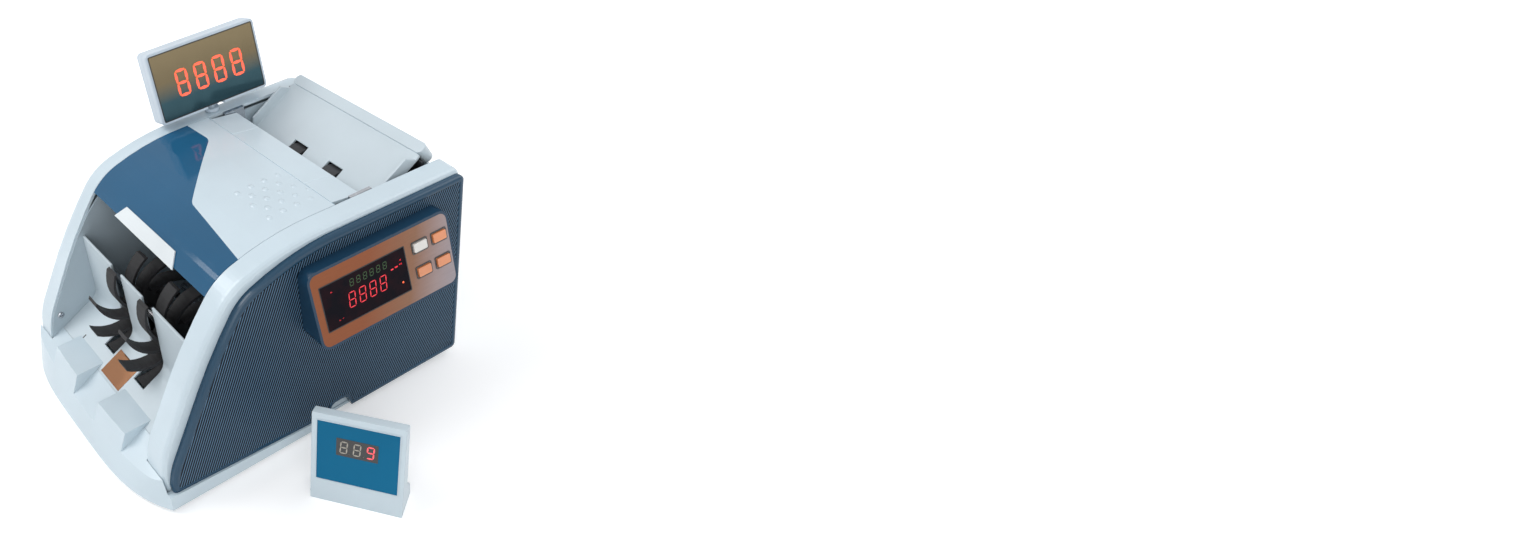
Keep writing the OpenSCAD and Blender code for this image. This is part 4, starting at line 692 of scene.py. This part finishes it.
def rocker_half(side):
    """The face of one half of the rocker; side -1 is the left one seen from the rear."""
    pivot = Matrix.Translation((32.7, 68.3, -4)) @ Matrix.Rotation(radians(7), 4, "Y")
    half = Matrix.Translation((4.475 * side, 0, 4.9)) @ Matrix.Rotation(radians(-8.9 * side), 4, "Y")
    return REAR @ pivot @ half


bm = bmesh.new()
plate(bm, 0.9, 4.4, 0.06, 0.2)
keep(bm, "rocker_on_mark", mark_white, "switch_rocker", rocker_half(-1))
bm = bmesh.new()
ring = disc(bm, 2.0, 24)
band = bmesh.ops.inset_individual(bm, faces=[ring], thickness=0.6)["faces"]
bmesh.ops.delete(bm, geom=[ring], context="FACES_ONLY")
raised(bm, band, 0.06)
keep(bm, "rocker_off_mark", mark_white, "switch_rocker", rocker_half(1))

# ---------------------------------------------------------------- screws
REAR_SCREWS = ((-41.5, 108, 0), (41.5, 108, 0))

bm = bmesh.new()
for at in REAR_SCREWS:
    screw(bm, REAR @ Matrix.Translation(at), 8, r=3.9, h=1.8)
for x in (-20, 20):
    screw(bm, REAR @ Matrix.Translation((INLET_X + x, INLET_Z, 1)), 5.5)
for x in (-60, -20, 20, 60):
    screw(bm, place((x, 270, 168.5), (-1, 0, 0), (0, 0, 1), (0, 1, 0)), 2.5)
for s in (-1, 1):
    screw(bm, place((90 * s, 9, 50), (0, -s, 0), (0, 0, 1), (-s, 0, 0)), 2)
    screw(bm, place((88.2 * s, 208.5, 158), (0, -s, 0), (0, 0, 1), (-s, 0, 0)), 3.8)
stands_for(bm, "cover_screws")
# Painted shade: a darker grey ring round each rear screw head.
bm = bmesh.new()
for at in REAR_SCREWS:
    raised(bm, [disc(bm, 4.9, 32, at)], 0.12)
keep(bm, "screw_shade_rings", groove_shade, "machine", REAR)

# ---------------------------------------------------------------- hopper's rear fittings
bm = bmesh.new()
for x in (-76, 66):
    plate(bm, 3.2, 17, 0.8, 0.5, (x, 163.5, 0), edge=0.2)
    plate(bm, 3.2, 3.6, 4.5, 0.5, (x, 157.2, 0), edge=0.2)
keep(bm, "backing_straps", dull_steel, "machine", BACKING)
bm = bmesh.new()
plate(bm, 4.0, 15, 0.8, 0.8, edge=0.2)
bmesh.ops.rotate(bm, matrix=Matrix.Rotation(radians(-52), 3, "Z"), verts=bm.verts)
bmesh.ops.translate(bm, vec=(37, 163.5, 0.8), verts=bm.verts)
plate(bm, 4.0, 13, 0.8, 0.8, (42, 160.5, 0), edge=0.2)
plate(bm, 2.4, 2.4, 2.2, 0.8, (42, 165.0, 0), edge=0.3)
keep(bm, "backing_latch", dull_steel, "machine", BACKING)

# ---------------------------------------------------------------- stacker floor
# Painted shade: a black plate stands for the dark inside of the floor's slit.
bm = bmesh.new()
plate(bm, 1.3, 6.8, 0.08, 0.4, (-61, 8, 0))
keep(bm, "floor_slit_shade", black, "machine", FLOOR)

# ---------------------------------------------------------------- camera and light
PICTURE_W, PICTURE_H = 1514, 534     # in pixels
FOCAL = 964.09                       # in the same pixels
AXIS_X, AXIS_Y = 252.89, 277.15      # where the lens's axis meets the picture


def sight(azimuth, elevation, roll, distance, target):
    """The camera's matrix: it looks at target from azimuth, elevation and distance."""
    az, el, r = radians(azimuth), radians(elevation), radians(roll)
    back = Vector((sin(az) * cos(el), -cos(az) * cos(el), sin(el)))
    x = Vector((0, 0, 1)).cross(back).normalized()
    y = back.cross(x)
    turn = Matrix((cos(r) * x + sin(r) * y, -sin(r) * x + cos(r) * y, back)).transposed()
    return Matrix.Translation((Vector(target) - SET_MIDDLE + back * distance) * MM) @ turn.to_4x4()


camera = bpy.data.objects.new("camera", bpy.data.cameras.new("camera"))
bpy.context.scene.collection.objects.link(camera)
camera.matrix_world = sight(61.54, 37.38, -7.53, 782.88, (33.99, 137.79, 99.97))
camera.data.sensor_width = 36
camera.data.lens = FOCAL / PICTURE_W * 36
camera.data.shift_x = (PICTURE_W / 2 - AXIS_X) / PICTURE_W
camera.data.shift_y = (AXIS_Y - PICTURE_H / 2) / PICTURE_W
camera.data.clip_start, camera.data.clip_end = 0.01, 50
bpy.context.scene.camera = camera
bpy.context.scene.view_settings.view_transform = "Standard"


LIGHTS_AIM = Vector((0, 0, 0.08))


def lamp(name, where, size, power):
    """A square soft light that points at the machine."""
    light = bpy.data.lights.new(name, "AREA")
    light.shape, light.size, light.energy = "SQUARE", size, power
    ob = bpy.data.objects.new(name, light)
    bpy.context.scene.collection.objects.link(ob)
    ob.location = where
    ob.rotation_euler = (LIGHTS_AIM - Vector(where)).to_track_quat("-Z", "Y").to_euler()


def met_by(tree, *kinds):
    """1 for rays of these kinds, else 0."""
    rays = tree.nodes.new("ShaderNodeLightPath").outputs
    met = rays[kinds[0]]
    for kind in kinds[1:]:
        more = tree.nodes.new("ShaderNodeMath")
        more.operation = "MAXIMUM"
        tree.links.new(met, more.inputs[0])
        tree.links.new(rays[kind], more.inputs[1])
        met = more.outputs["Value"]
    return met


lamp("key_light", (-0.9, -1.0, 1.7), 1.2, 22)
lamp("fill_light", (1.6, -0.9, 1.1), 1.6, 15)
lamp("back_light", (0.3, 1.6, 1.3), 1.4, 12)

# The room lights the machine softly, and shows as plain white behind it and in its gloss.
world = bpy.data.worlds.new("studio")
bpy.context.scene.world = world
world.use_nodes = True
air = world.node_tree
room, white = air.nodes["Background"], air.nodes.new("ShaderNodeBackground")
room.inputs["Color"].default_value = (0.92, 0.95, 1.0, 1)
room.inputs["Strength"].default_value = 0.45
white.inputs["Color"].default_value = (1, 1, 1, 1)
seen = air.nodes.new("ShaderNodeMixShader")
air.links.new(met_by(air, "Is Camera Ray", "Is Glossy Ray", "Is Transmission Ray"), seen.inputs["Fac"])
air.links.new(room.outputs[0], seen.inputs[1])
air.links.new(white.outputs[0], seen.inputs[2])
air.links.new(seen.outputs[0], air.nodes["World Output"].inputs["Surface"])

# The desk keeps the shadow near the machine and glows to white further off.
bm = bmesh.new()
bmesh.ops.create_grid(bm, x_segments=1, y_segments=1, size=6)
paper = Finish("desk_white", (0.86, 0.86, 0.86, 1), 0.6)
away = paper.node("VectorMath", Vector=paper.coords)
away.operation = "LENGTH"
shown = met_by(paper.material.node_tree, "Is Camera Ray", "Is Glossy Ray")
veil = paper.ranged(away.outputs["Value"], 0.34, 0.8, 0.35, 1.2)
glow = paper.node("Emission", Strength=paper.math("MULTIPLY", shown, veil))
both = paper.node("AddShader")
paper.links.new(paper.skin.outputs[0], both.inputs[0])
paper.links.new(glow.outputs[0], both.inputs[1])
paper.links.new(both.outputs[0], paper.nodes["Material Output"].inputs["Surface"])
made(bm, "desk", paper.material)
